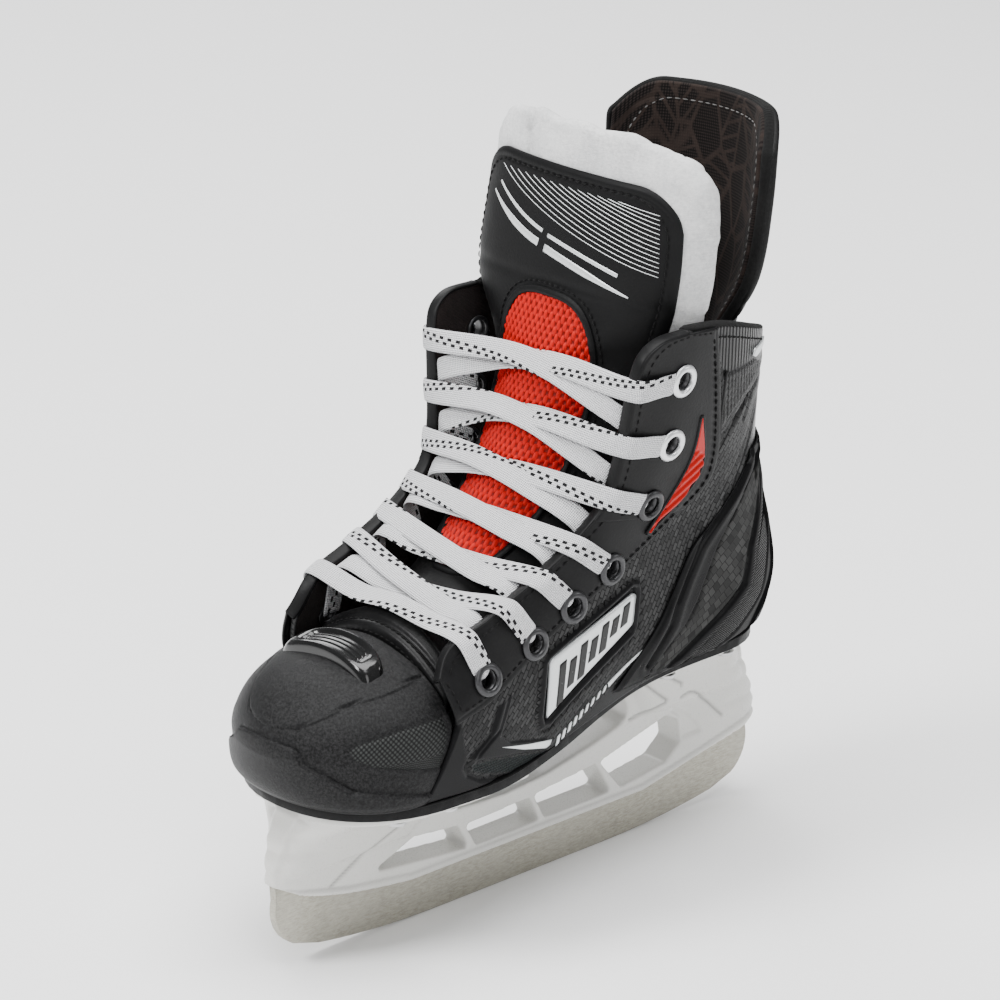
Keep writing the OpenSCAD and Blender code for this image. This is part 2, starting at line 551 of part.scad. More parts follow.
// Points of one strand with the direction that its flat face looks in
function strand(k, side) =
  let (a = eyelets[k], b = eyelets[k + 1], ea = spline(throat_line, over_t[k] - 0.05),
       eb = spline(throat_line, over_t[k + 1]), u = cross_u[k], lift = side > 0 ? 2.1 : 3.6,
       out = overlay_t + gap + 0.9, in = -shell_t - 1.4, rise = 0.026)
  [stop(a, in, -side), stop(ea, in, -side),
   [other_side(tongue_at(u - rise, 0.6, -2.3), -side), [-0.5 * side, -0.8, 0.5]],
   [tongue_at(u, 0, -lift), [0, -0.8, 0.6]],
   [other_side(tongue_at(u + rise, 0.6, -2.3), side), [0.5 * side, -0.8, 0.5]],
   stop(eb, out, side), stop(mix(b, eb, 0.3), out, side), stop(b, 0, side)];
function bottom_bar() =
  let (a = eyelets[0], e = spline(throat_line, over_t[0]), out = overlay_t + gap + 0.9)
  [stop(a, 0, -1), stop(e, out, -1), [[-16, -50.5, 100.5], [0, -0.4, 1]],
   [[0, -50.5, 102.6], [0, -0.4, 1]], [[16, -50.5, 100.5], [0, -0.4, 1]], stop(e, out, 1), stop(a, 0, 1)];
// Length along the stops up to each one
function run_to(stops, i) = i == 0 ? 0 : run_to(stops, i - 1) + norm(stops[i][0] - stops[i - 1][0]);
module ribbon(stops, n = 20) {
  m = len(stops) - 1;
  keys = [for (i = [0:m]) [run_to(stops, i), stops[i][0]]];
  facing = [for (i = [0:m]) [run_to(stops, i), stops[i][1]]];
  rings = [for (i = [0:n])
    let (t = keys[m][0] * i / n, p = spline(keys, t), d = unit(spline(keys, t + 0.4) - spline(keys, t - 0.4)),
         w = unit(cross(d, spline(facing, t))), up = cross(w, d),
         squeeze = i == 0 || i == n ? 0.55 : 1)
    [p - w * lace_w / 2 * squeeze, p + w * lace_w / 2 * squeeze,
     p + w * lace_w / 2 * squeeze + up * lace_t, p - w * lace_w / 2 * squeeze + up * lace_t]];
  tube(rings);
}
module lace() {
  color("white") {
    ribbon(bottom_bar());
    for (k = [0:5]) for (side = [1, -1]) ribbon(strand(k, side));
  }
}

module left_quarter() {
  color("#242426") quarter();
}
module right_quarter() {
  color("#242426") quarter($side = -1);
}
module left_eyestay() {
  color("#2c2c2e") eyestay();
}
module right_eyestay() {
  color("#2c2c2e") eyestay($side = -1);
}
module upper_eyelets() {
  color("silver") eyelet_row(5, 6);
}
module lower_eyelets() {
  color("#3b3b3c") eyelet_row(0, 4);
}
module left_ankle_insert() {
  ankle_insert();
}
module right_ankle_insert() {
  ankle_insert($side = -1);
}
module left_side_badge() {
  side_badge();
}
module right_side_badge() {
  side_badge($side = -1);
}
module left_lining() {
  color("#1d1a1a") lining();
}
module right_lining() {
  color("#1d1a1a") lining($side = -1);
}
module left_collar_binding() {
  color("#151516") collar_binding();
}
module right_collar_binding() {
  color("#151516") collar_binding($side = -1);
}

runner();
holder();
holder_rivets();
outsole();
lasting_board();
footbed();
toe_cap();
toe_badge();
toe_vamp();
left_quarter();
right_quarter();
heel_counter();
left_eyestay();
right_eyestay();
upper_eyelets();
lower_eyelets();
left_ankle_insert();
right_ankle_insert();
left_side_badge();
right_side_badge();
left_lining();
right_lining();
left_collar_binding();
right_collar_binding();
tongue_felt();
tongue_facing();
tongue_mesh();
lace();
tongue_top_felt();
tongue_top_facing();
guard_base();
tendon_guard();
guard_lining();
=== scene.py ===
"""Looks of a youth ice hockey skate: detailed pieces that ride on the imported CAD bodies.

Points are in millimetres in the CAD frame until mesh_obj or set_points scales them to metres.
side is 1 for the outer (left) half and -1 for the inner half.
"""

import math
import bpy
import numpy as np
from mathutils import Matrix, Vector
from mathutils.bvhtree import BVHTree


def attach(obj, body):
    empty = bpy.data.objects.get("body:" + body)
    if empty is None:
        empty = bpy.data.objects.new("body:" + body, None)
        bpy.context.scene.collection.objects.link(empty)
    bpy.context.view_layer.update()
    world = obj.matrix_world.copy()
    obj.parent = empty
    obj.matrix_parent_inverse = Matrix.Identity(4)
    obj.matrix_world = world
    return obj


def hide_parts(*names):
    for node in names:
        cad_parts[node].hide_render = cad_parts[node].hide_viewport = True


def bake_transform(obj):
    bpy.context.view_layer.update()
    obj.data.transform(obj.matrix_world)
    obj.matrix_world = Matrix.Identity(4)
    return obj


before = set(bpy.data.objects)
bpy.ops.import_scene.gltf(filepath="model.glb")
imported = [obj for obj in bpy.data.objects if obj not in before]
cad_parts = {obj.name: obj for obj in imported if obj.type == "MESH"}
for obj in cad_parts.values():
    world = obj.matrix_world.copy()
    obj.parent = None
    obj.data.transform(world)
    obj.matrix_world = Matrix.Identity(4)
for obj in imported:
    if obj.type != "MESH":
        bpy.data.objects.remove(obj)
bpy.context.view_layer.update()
MM = 0.001

# ---------- camera, floor and light ----------


def aim(obj, place, target):
    obj.location = place
    obj.rotation_euler = (Vector(target) - Vector(place)).to_track_quat("-Z", "Y").to_euler()


def add_camera(azimuth, elevation, distance, target):
    data = bpy.data.cameras.new("camera")
    data.sensor_width = 36
    data.lens = 180
    data.clip_start = 0.05
    cam = bpy.data.objects.new("camera", data)
    bpy.context.scene.collection.objects.link(cam)
    a, e = math.radians(azimuth), math.radians(elevation)
    back = Vector((math.sin(a) * math.cos(e), -math.cos(a) * math.cos(e), math.sin(e)))
    aim(cam, Vector(target) + distance * back, target)
    bpy.context.scene.camera = cam


def add_light(name, place, target, size, watts):
    data = bpy.data.lights.new(name, "AREA")
    data.shape = "DISK"
    data.size = size
    data.energy = watts
    obj = bpy.data.objects.new(name, data)
    bpy.context.scene.collection.objects.link(obj)
    aim(obj, place, target)


# ---------- curves and the boot's outer surface, in millimetres as in the CAD ----------


def spline(keys, t):
    """Value at t of a smooth curve through [place, value] keys; a value may be a point."""
    k = np.array([a for a, _ in keys], float)
    v = np.array([b for _, b in keys], float)
    t = np.asarray(t, float)
    n = len(k)
    lo, hi = np.maximum(np.arange(n) - 1, 0), np.minimum(np.arange(n) + 1, n - 1)
    span = k[hi] - k[lo]
    m = (v[hi] - v[lo]) / (span if v.ndim == 1 else span[:, None])
    i = np.clip(np.searchsorted(k, t, side="right") - 1, 0, n - 2)
    h = k[i + 1] - k[i]
    u = np.clip((t - k[i]) / h, 0, 1)
    if v.ndim > 1:
        h, u = h[..., None], u[..., None]
    return hermite(v[i], v[i + 1], m[i] * h, m[i + 1] * h, u)


def hermite(a, b, ma, mb, u):
    return (a * (2 * u**3 - 3 * u**2 + 1) + ma * (u**3 - 2 * u**2 + u)
            + b * (3 * u**2 - 2 * u**3) + mb * (u**3 - u**2))


def mix(a, b, t):
    return a + (b - a) * t


def smooth(t):
    t = np.clip(t, 0, 1)
    return t * t * (3 - 2 * t)


def unit(v):
    v = np.asarray(v, float)
    return v / np.maximum(np.linalg.norm(v, axis=-1, keepdims=True), 1e-9)


def superc(c, n):
    return np.power(np.maximum(0, 1 - np.power(np.minimum(1, np.abs(c)), n)), 1 / n)


BALL_Z, HEEL_Z, SOLE_T = 52, 62, 3.4
EYELET_HOLE, EDGE_ROLL = 3.45, 0.62
SHELL_T, LINER_T, OVER_T, GAP = 2.4, 2.5, 1.0, 0.35
SOLE_FRONT, SOLE_BACK, TOE_BEND, HEEL_BEND = -96.5, 88.5, -58, 64
SOLE_LINE = [[-97, 52], [-45, 52], [-32, 52.6], [-17, 55], [3, 58.8], [20, 61.2], [36, 62],
             [95, 62]]
SOLE_WIDTH = [[-97, 36.5], [-58, 36.5], [-45, 37.2], [-28, 35.4], [-10, 33], [5, 30], [20, 27.2],
              [36, 25], [53, 24.2], [95, 24.2]]
BACK_LINE = [[52, 82], [62, 88.5], [70, 93.5], [84, 96.5], [98, 94.3], [113, 89.5], [130, 86.3],
             [150, 85.8], [170, 86.4], [185, 87]]
REACH, ARC = 42, 60
WIDTHS = [
    [54, [[-72, 35], [-50, 37], [-30, 35.4], [-10, 33.2], [5, 30.4], [20, 27.8], [36, 25.6], [60, 24.5],
          [95, 24.5]]],
    [66, [[-72, 36.6], [-50, 37.6], [-28, 36], [0, 33], [25, 29.5], [60, 27.4], [95, 27.4]]],
    [82, [[-72, 36.6], [-50, 37], [-25, 36], [10, 34.5], [40, 32.6], [95, 31]]],
    [98, [[-62, 30], [-45, 33.5], [-25, 35], [0, 36], [40, 33.8], [95, 31]]],
    [115, [[-40, 29.5], [-20, 33.5], [0, 37], [40, 35], [95, 33]]],
    [130, [[-10, 35.5], [0, 38.5], [15, 40], [50, 37.5], [95, 35]]],
    [150, [[0, 42], [20, 44], [55, 40], [95, 37]]],
    [183, [[0, 48], [25, 47.5], [55, 43], [95, 39]]],
]
COLLAR = [[0, [0, 157.5]], [0.2, [18, 161]], [0.5, [42.6, 170]], [0.8, [63.5, 177.5]],
          [1, [83, 180.8]]]
THROAT = [[0, [22, 180.8]], [0.08, [10, 180.2]], [0.15, [3.8, 174.5]], [0.3, [1.4, 153]],
          [0.4, [0.2, 140]], [0.5, [-3, 130]], [0.6, [-12, 120.5]], [0.7, [-25, 112]],
          [0.83, [-42, 104.5]], [0.93, [-56, 99.5]], [1, [-62.5, 91]]]
EYESTAY = [[0, [35, 179]], [0.15, [38, 165]], [0.3, [41, 148]], [0.4, [42.5, 136]],
           [0.47, [40, 128]], [0.55, [27, 119.5]], [0.68, [5, 108]], [0.82, [-22, 94]],
           [0.93, [-44, 82.5]], [1, [-60, 78.5]]]
SEAM = [[54, -71], [76, -59.4], [81, -59.2], [92, -61.8]]
EYELETS = [[-47, 88.2], [-28, 94.1], [-12.8, 101.6], [1.6, 110.1], [13.8, 128.2], [18.3, 146.9],
           [20.3, 166.7]]
FAR_SHIFT = [[60, 0], [88, 1.2], [100, 3], [110, 3.6], [128, -1.2], [147, -4.2], [167, -6.2],
             [190, -6.6]]
FAR_SLIM = [[100, 1], [130, 0.985], [150, 0.95], [170, 0.92], [190, 0.92]]
RIM = [[0, [86.1, 155.5]], [0.12, [81.8, 158.8]], [0.3, [63, 168]], [0.44, [43, 175]],
       [0.52, [32, 176.5]], [0.56, [30.5, 171]], [0.64, [28, 148]], [0.72, [22.5, 128.5]],
       [0.79, [11, 109.5]], [0.86, [-6.5, 92.5]], [0.93, [-31, 84.5]], [1, [-57, 76]]]
COUNTER = [[67, 8], [74, 15], [84, 24], [93, 30], [100, 34], [107, 39], [112, 46], [120, 56],
           [126, 62], [131, 66]]
COUNTER_TOP = 130


def sole_z(y):
    return spline(SOLE_LINE, y)


def sole_w(y):
    y = np.asarray(y, float)
    return (spline(SOLE_WIDTH, y) * superc(np.maximum(0, TOE_BEND - y) / (TOE_BEND - SOLE_FRONT), 2.2)
            * superc(np.maximum(0, y - HEEL_BEND) / (SOLE_BACK - HEEL_BEND), 2.2))


def back_y(z):
    return spline(BACK_LINE, z)


def side_w(y, z):
    y, z = np.broadcast_arrays(np.asarray(y, float), np.asarray(z, float))
    zs = np.array([s[0] for s in WIDTHS], float)
    rows = np.array([spline(s[1], y) for s in WIDTHS])
    n = len(zs)
    lo, hi = np.maximum(np.arange(n) - 1, 0), np.minimum(np.arange(n) + 1, n - 1)
    m = (rows[hi] - rows[lo]) / (zs[hi] - zs[lo]).reshape((-1,) + (1,) * y.ndim)
    i = np.clip(np.searchsorted(zs, z, side="right") - 1, 0, n - 2)
    h = zs[i + 1] - zs[i]
    u = np.clip((z - zs[i]) / h, 0, 1)

    def pick(a, j):
        return np.take_along_axis(a, j[None], 0)[0]

    return hermite(pick(rows, i), pick(rows, i + 1), pick(m, i) * h, pick(m, i + 1) * h, u)


def y_at(s, z):
    s = np.asarray(s, float)
    return back_y(z) - np.where(s < ARC, REACH * (1 - np.cos(np.radians(90 * s / ARC))), REACH + s - ARC)


def s_at(y, z):
    d = back_y(z) - np.asarray(y, float)
    near = np.degrees(np.arccos(np.clip(1 - np.maximum(0, d) / REACH, -1, 1))) * ARC / 90
    return np.where(d > REACH, ARC + d - REACH, near)


def shell_point(s, z):
    s, z = np.broadcast_arrays(np.asarray(s, float), np.asarray(z, float))
    y = y_at(s, z)
    return np.stack([side_w(y, z) * np.sin(np.radians(90 * np.minimum(1, s / ARC))), y, z], -1)


def shell_normal(s, z):
    s0 = np.maximum(s, 0.2)
    return unit(np.cross(shell_point(s0 + 0.5, z) - shell_point(s0 - 0.2, z),
                         shell_point(s0, z - 0.5) - shell_point(s0, z + 0.5)))


def placed(p, side):
    """A point of the outer side, or the same point of the lower and slimmer inner side."""
    p = np.asarray(p, float)
    if side > 0:
        return p
    fade = np.clip((62 - p[..., 1]) / 40, 0, 1)
    return np.stack([-p[..., 0] * mix(1, spline(FAR_SLIM, p[..., 2]), fade), p[..., 1],
                     p[..., 2] + fade * spline(FAR_SHIFT, p[..., 2])], -1)


def shell_at(s, z, off, side=1):
    s, z = np.broadcast_arrays(np.asarray(s, float), np.asarray(z, float))
    return placed(shell_point(s, z) + np.asarray(off, float)[..., None] * shell_normal(s, z), side)


def side_at(p, off, side=1):
    """Point above [y, z] on the side of the boot."""
    p = np.asarray(p, float)
    return shell_at(s_at(p[..., 0], p[..., 1]), p[..., 1], np.broadcast_to(off, p.shape[:-1]), side)


def on_arc(p):
    return np.stack([s_at(p[..., 0], p[..., 1]), p[..., 1]], -1)


def gap_to(p, line):
    """Distance of every point [y, z] to a line of points."""
    best = np.full(p.shape[:-1], 1e9)
    line = np.asarray(line, float)
    for a, b in zip(line[:-1], line[1:]):
        d = b - a
        t = np.clip(((p - a) @ d) / max(d @ d, 1e-9), 0, 1)
        best = np.minimum(best, np.linalg.norm(p - a - t[..., None] * d, axis=-1))
    return best


def inside(p, poly):
    """Distance into a closed outline, positive inside and negative outside."""
    poly = np.asarray(poly, float)
    y, z = p[..., 0], p[..., 1]
    odd = np.zeros(y.shape, bool)
    for (ay, az), (by, bz) in zip(poly, np.roll(poly, -1, 0)):
        crossing = (az > z) != (bz > z)
        with np.errstate(divide="ignore", invalid="ignore"):
            at = (by - ay) * (z - az) / (bz - az) + ay
        odd ^= crossing & (y < at)
    d = gap_to(p, np.vstack([poly, poly[:1]]))
    return np.where(odd, d, -d)


def bell(x, width):
    """1 at x = 0, fading to 0 within about two widths."""
    return np.exp(-((x / width) ** 2))


def groove(dist, width, depth):
    return -depth * bell(dist, width)


def run_along(points):
    """Distance from the first point to each point of a line."""
    return np.concatenate([[0], np.cumsum(np.linalg.norm(np.diff(points, axis=0), axis=1))])


def grid(rows, cols, a=(0, 1), b=(0, 1)):
    """Two arrays of even values, a along the rows and b along the columns."""
    return np.meshgrid(np.linspace(*a, rows), np.linspace(*b, cols), indexing="ij")


def smooth_path(points, step):
    """Even samples of a smooth curve through points of any dimension."""
    p = np.asarray(points, float)
    far = run_along(p)
    fine = spline(list(zip(far, p.tolist())), np.linspace(0, far[-1], 40 * len(p)))
    run = run_along(fine)
    at = np.linspace(0, run[-1], max(3, int(run[-1] / step) + 1))
    return np.stack([np.interp(at, run, fine[:, i]) for i in range(p.shape[1])], 1)


# ---------- meshes ----------


def finish_piece(obj, body, nodes, slot):
    if isinstance(body, str):
        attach(obj, body)
    else:
        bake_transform(obj)
    if nodes:
        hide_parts(*nodes)
    return obj


def mesh_obj(name, verts, faces, mats, uv=None, mat_index=None, attrs=None, smooth_shade=True):
    """A Blender object from points in millimetres."""
    me = bpy.data.meshes.new(name)
    me.from_pydata((np.asarray(verts, float).reshape(-1, 3) * MM).tolist(), [], [list(f) for f in faces])
    for m in mats if isinstance(mats, (list, tuple)) else [mats]:
        me.materials.append(m)
    if mat_index is not None:
        me.polygons.foreach_set("material_index", np.asarray(mat_index, np.int32))
    if uv is not None:
        idx = np.zeros(len(me.loops), np.int32)
        me.loops.foreach_get("vertex_index", idx)
        me.uv_layers.new(name="UVMap").data.foreach_set("uv", np.asarray(uv, np.float32)[idx].ravel())
    for key, val in (attrs or {}).items():
        rows = me.attributes.new(key, "FLOAT", "POINT").data
        rows.foreach_set("value", np.asarray(val, np.float32).ravel())
    if smooth_shade:
        shade_smooth(me)
    me.update()
    obj = bpy.data.objects.new(name, me)
    bpy.context.scene.collection.objects.link(obj)
    return obj


def quads(rows, cols, start=0, wrap=False):
    """Faces of a grid of points; wrap joins the last column to the first."""
    i, j = np.meshgrid(np.arange(rows - 1), np.arange(cols if wrap else cols - 1), indexing="ij")
    k = (j + 1) % cols
    f = np.stack([i * cols + j, i * cols + k, (i + 1) * cols + k, (i + 1) * cols + j], -1)
    return f.reshape(-1, 4) + start


def slab_data(near, far, uv=None, round_segs=3, bulge=0.55):
    """Points, faces, uv and a face label (0 near, 1 far, 2 rim) of a closed sheet with a rounded rim."""
    r, c = near.shape[:2]
    n = r * c
    ring = ([(0, j) for j in range(c)] + [(i, c - 1) for i in range(1, r)]
            + [(r - 1, j) for j in range(c - 2, -1, -1)] + [(i, 0) for i in range(r - 2, 0, -1)])
    ri = np.array(ring)
    inner = np.stack([np.clip(ri[:, 0], 1, r - 2), np.clip(ri[:, 1], 1, c - 2)], 1)
    a, b = near[ri[:, 0], ri[:, 1]], far[ri[:, 0], ri[:, 1]]
    out = unit(a - near[inner[:, 0], inner[:, 1]])
    thick = np.linalg.norm(a - b, axis=1, keepdims=True)
    verts = [near.reshape(-1, 3), far.reshape(-1, 3)]
    for s in range(1, round_segs):
        w = math.pi * s / round_segs
        verts.append((a + b) / 2 + (a - b) / 2 * math.cos(w) + out * thick / 2 * bulge * math.sin(w))
    m = len(ring)
    flat = ri[:, 0] * c + ri[:, 1]
    loops = [flat] + [2 * n + k * m + np.arange(m) for k in range(round_segs - 1)] + [flat + n]
    rim = []
    for p, q in zip(loops[:-1], loops[1:]):
        rim.append(np.stack([np.roll(p, -1), p, q, np.roll(q, -1)], 1))
    front = quads(r, c)
    back = quads(r, c, n)[:, ::-1]
    faces = np.vstack([front, back] + rim)
    label = np.repeat([0, 1, 2], [len(front), len(back), m * round_segs])
    i0, j0 = r // 2, c // 2
    turn = np.dot(np.cross(near[i0, j0 + 1 if j0 + 1 < c else j0] - near[i0, j0 - 1],
                           near[i0 + 1 if i0 + 1 < r else i0, j0] - near[i0 - 1, j0]),
                  near[i0, j0] - far[i0, j0])
    if turn < 0:
        faces = faces[:, ::-1]
    uvs = None
    if uv is not None:
        flat_uv = uv.reshape(-1, 2)
        uvs = np.vstack([flat_uv, flat_uv] + [flat_uv[flat]] * (round_segs - 1))
    return np.vstack(verts), faces, uvs, label, flat


def slab(name, near, far, mat, uv=None, attrs=None, **kw):
    """A closed sheet as one piece; attrs hold on the near face and its rim."""
    v, f, uvs, _, flat = slab_data(near, far, uv, **kw)
    full = {}
    for key, val in (attrs or {}).items():
        val = np.asarray(val, float).ravel()
        full[key] = np.concatenate([val, val * 0] + [val[flat]] * (kw.get("round_segs", 3) - 1))
    return mesh_obj(name, v, f, mat, uvs, attrs=full)


class Heap:
    """Collects many small shapes into one mesh."""

    def __init__(self):
        self.v, self.f, self.uv, self.mark, self.n = [], [], [], [], 0

    def add(self, verts, faces, uv=None, mark=0.0):
        verts = np.asarray(verts, float).reshape(-1, 3)
        self.v.append(verts)
        self.f += [[int(i) + self.n for i in f] for f in faces]
        self.mark.append(np.broadcast_to(np.asarray(mark, float).ravel(), len(verts)))
        self.uv.append(np.zeros((len(verts), 2)) if uv is None else np.asarray(uv, float).reshape(-1, 2))
        self.n += len(verts)

    def make(self, name, mats, **kw):
        if "mark" in kw:
            kw["attrs"] = {kw.pop("mark"): np.concatenate(self.mark)}
        return mesh_obj(name, np.vstack(self.v), self.f, mats, np.vstack(self.uv), **kw)


def sweep(path, up, profile):
    """Points and faces of a closed profile swept along a path, with capped ends.

    The profile has rows of [across, up]; there may be one profile per path point.
    """
    path = np.asarray(path, float)
    d = unit(np.gradient(path, axis=0))
    up = np.broadcast_to(np.asarray(up, float), path.shape)
    across = unit(np.cross(d, up))
    up = np.cross(across, d)
    prof = np.asarray(profile, float)
    if prof.ndim == 2:
        prof = np.broadcast_to(prof, (len(path),) + prof.shape)
    pts = path[:, None] + across[:, None] * prof[..., :1] + up[:, None] * prof[..., 1:]
    n, m = prof.shape[:2]
    faces = quads(n, m, wrap=True).tolist()
    faces += [list(range(m - 1, -1, -1)), [(n - 1) * m + k for k in range(m)]]
    return pts.reshape(-1, 3), faces


def ring_profile(rx, ry, n):
    a = np.linspace(0, 2 * math.pi, n, endpoint=False)
    return np.stack([rx * np.cos(a), ry * np.sin(a)], 1)[::-1]


def stitch(heap, a, b, up, r=0.32):
    """One thread of a seam, from a to b, dipping into the cloth at both ends."""
    t = np.linspace(-1, 1, 5)
    path = mix(a, b, (t[:, None] + 1) / 2) + unit(up) * (0.5 * r * (1 - t[:, None] ** 2) - 0.25 * r)
    size = r * np.array([0.35, 0.85, 1, 0.85, 0.35])
    prof = ring_profile(1, 0.8, 6)[None] * size[:, None, None]
    heap.add(*sweep(path, up, prof))


def seam(heap, place, line, off, pitch=2.6, length=1.9, r=0.32):
    """Stitches along a line of [a, b] places of a surface."""
    pts = smooth_path(line, 0.5)
    outer = place(pts, off)
    up = place(pts, off + 1.0) - outer
    run = run_along(outer)
    for s in np.arange(pitch / 2, run[-1] - length, pitch):
        a, b = [np.array([np.interp(s + k, run, outer[:, i]) for i in range(3)]) for k in (0, length)]
        u = np.array([np.interp(s, run, up[:, i]) for i in range(3)])
        stitch(heap, a, b, u, r)


# ---------- materials ----------


class Look:
    """A procedural material made of small steps; every step gives a socket for the next."""

    def __init__(self, name):
        self.mat = bpy.data.materials.new(name)
        self.mat.use_nodes = True
        self.tree = self.mat.node_tree
        self.tree.nodes.clear()
        out = self.tree.nodes.new("ShaderNodeOutputMaterial")
        self.shader = self.tree.nodes.new("ShaderNodeBsdfPrincipled")
        self.tree.links.new(self.shader.outputs[0], out.inputs[0])

    def feed(self, socket, value):
        if isinstance(value, bpy.types.NodeSocket):
            self.tree.links.new(value, socket)
        elif socket.type == "RGBA" and len(value) == 3:
            socket.default_value = (*value, 1)
        else:
            socket.default_value = value

    def step(self, kind, ins, out=0, **props):
        node = self.tree.nodes.new("ShaderNode" + kind)
        for key, value in props.items():
            setattr(node, key, value)
        for key, value in ins.items():
            self.feed(node.inputs[key], value)
        return node.outputs[out]

    def math(self, op, a, b=0.0, c=0.0):
        return self.step("Math", {0: a, 1: b, 2: c}, operation=op)

    def add(self, a, b):
        return self.math("ADD", a, b)

    def sub(self, a, b):
        return self.math("SUBTRACT", a, b)

    def mul(self, a, b):
        return self.math("MULTIPLY", a, b)

    def at(self, source="Object", scale=(1000, 1000, 1000), turn=(0, 0, 0)):
        """Coordinates in millimetres for Object, and as stored for UV; scaled first, then turned."""
        base = self.step("TexCoord", {}, source)
        big = self.step("VectorMath", {0: base, 1: scale}, operation="MULTIPLY")
        return self.step("VectorRotate", {"Vector": big, "Rotation": turn}, rotation_type="EULER_XYZ")

    def noise(self, at, scale, detail=4, rough=0.55, out=0):
        return self.step("TexNoise", {"Vector": at, "Scale": scale, "Detail": detail, "Roughness": rough},
                         out)

    def cells(self, at, scale, feature="F1", out=0, random=1.0):
        return self.step("TexVoronoi", {"Vector": at, "Scale": scale, "Randomness": random}, out,
                         feature=feature)

    def fit(self, value, a, b, c=0.0, d=1.0):
        return self.step("MapRange", {0: value, 1: a, 2: b, 3: c, 4: d})

    def mixed(self, fac, a, b):
        return self.step("Mix", {0: fac, 6: a, 7: b}, 2, data_type="RGBA")

    def attr(self, name):
        return self.step("Attribute", {}, 2, attribute_name=name)

    def split(self, at, axis):
        return self.step("SeparateXYZ", {0: at}, axis)

    def bump(self, height, depth_mm):
        return self.step("Bump", {"Height": height, "Distance": depth_mm * MM, "Strength": 1.0})

    def use(self, **sockets):
        names = {"base": "Base Color", "rough": "Roughness", "metal": "Metallic", "normal": "Normal",
                 "coat": "Coat Weight", "coat_rough": "Coat Roughness", "sheen": "Sheen Weight",
                 "sheen_rough": "Sheen Roughness", "spec": "Specular IOR Level"}
        for key, value in sockets.items():
            self.feed(self.shader.inputs[names[key]], value)
        return self.mat


def sine(look, value, period):
    return look.math("SINE", look.math("MULTIPLY_ADD", value, 2 * math.pi / period))


def leather(name, dark, light, rough=0.42, grain=0.9, depth=0.05):
    k = Look(name)
    at = k.at()
    cells = k.cells(at, grain, "SMOOTH_F1")
    wide = k.noise(at, 0.09, 3)
    tone = k.fit(k.add(wide, k.mul(k.noise(at, 1.7), 0.4)), 0.4, 1.0)
    bump = k.bump(k.add(cells, k.mul(k.noise(at, 3.0, 5), 0.5)), depth)
    return k.use(base=k.mixed(tone, dark, light),
                 rough=k.fit(wide, 0.3, 0.7, rough - 0.05, rough + 0.07), normal=bump, spec=0.13)


def grained(name, dark, light, rough, depth=0.06, size=1.1):
    """Moulded plastic with a fine sparkle grain."""
    k = Look(name)
    at = k.at()
    grain = k.noise(at, size, 6, 0.75)
    tone = k.fit(k.noise(at, size * 1.3, 5, 0.8), 0.4, 0.62)
    return k.use(base=k.mixed(tone, dark, light),
                 rough=k.fit(grain, 0.35, 0.65, rough - 0.07, rough + 0.1),
                 normal=k.bump(grain, depth), spec=0.12)


def gloss(name, dark, light, rough=0.2, coat=0.5):
    k = Look(name)
    at = k.at()
    wide = k.noise(at, 0.12, 4)
    fine = k.noise(at, 2.2, 4, 0.6)
    return k.use(base=k.mixed(wide, dark, light), rough=k.fit(fine, 0.3, 0.7, rough, rough + 0.1),
                 normal=k.bump(fine, 0.018), coat=coat, coat_rough=0.12, spec=0.15)


def shell_look():
    """Quarter panel: diagonal woven print; smooth, meshed and ribbed zones are marked on the mesh."""
    k = Look("quarter_shell")
    at = k.at("UV", (1, 1, 1), (0, 0, math.radians(52)))
    woven = {"Vector": at, "Scale": 1.0, "Mortar Size": 0.2, "Mortar Smooth": 0.6, "Brick Width": 3.0,
             "Row Height": 1.5, "Bias": 0.0}
    shade = k.step("TexBrick", {**woven, "Color1": (0.25, 0.25, 0.25), "Color2": (0.85, 0.85, 0.85),
                                "Mortar": (0.0, 0.0, 0.0)}, 0)
    lines = k.step("TexBrick", woven, 1)
    flat = k.at("UV", (1, 1, 1))
    wide = k.noise(k.at(), 0.06, 3)
    smooth_zone, mesh_zone, rib_zone = k.attr("smooth"), k.attr("mesh"), k.attr("ribs")
    weave = k.mixed(shade, (0.002, 0.002, 0.0022), (0.05, 0.05, 0.05))
    weave = k.mixed(k.fit(wide, 0.35, 0.7, 0.0, 0.25), weave, (0.012, 0.012, 0.0125))
    plain = k.mixed(wide, (0.004, 0.004, 0.0043), (0.008, 0.008, 0.0085))
    dots = k.cells(flat, 1.25, random=0.1)
    # Painted shade: in the meshed zone the pits between the dots are painted near black and the raised
    # dots a lighter grey.
    net_with_pit_shade = k.mixed(k.fit(dots, 0.25, 0.5), (0.022, 0.028, 0.028), (0.003, 0.003, 0.003))
    base = k.mixed(smooth_zone, weave, plain)
    base = k.mixed(mesh_zone, base, net_with_pit_shade)
    rib = sine(k, k.split(k.at("UV", (1, 1, 1), (0, 0, math.radians(6))), 0), 1.6)
    base = k.mixed(k.mul(rib_zone, k.fit(rib, 0.1, 0.5)), base, (0.045, 0.045, 0.045))
    height = k.mul(k.sub(1.0, smooth_zone),
                    k.sub(k.mul(shade, 0.7), lines))
    height = k.add(height, k.mul(k.mul(rib, rib_zone), 1.2))
    height = k.sub(height, k.mul(k.mul(dots, mesh_zone), 1.5))
    height = k.add(height, k.mul(k.noise(flat, 2.6, 4), 0.25))
    rough = k.mixed(smooth_zone, (0.45, 0.45, 0.45), (0.28, 0.28, 0.28))
    return k.use(base=base, rough=rough, normal=k.bump(height, 0.22), spec=0.1)


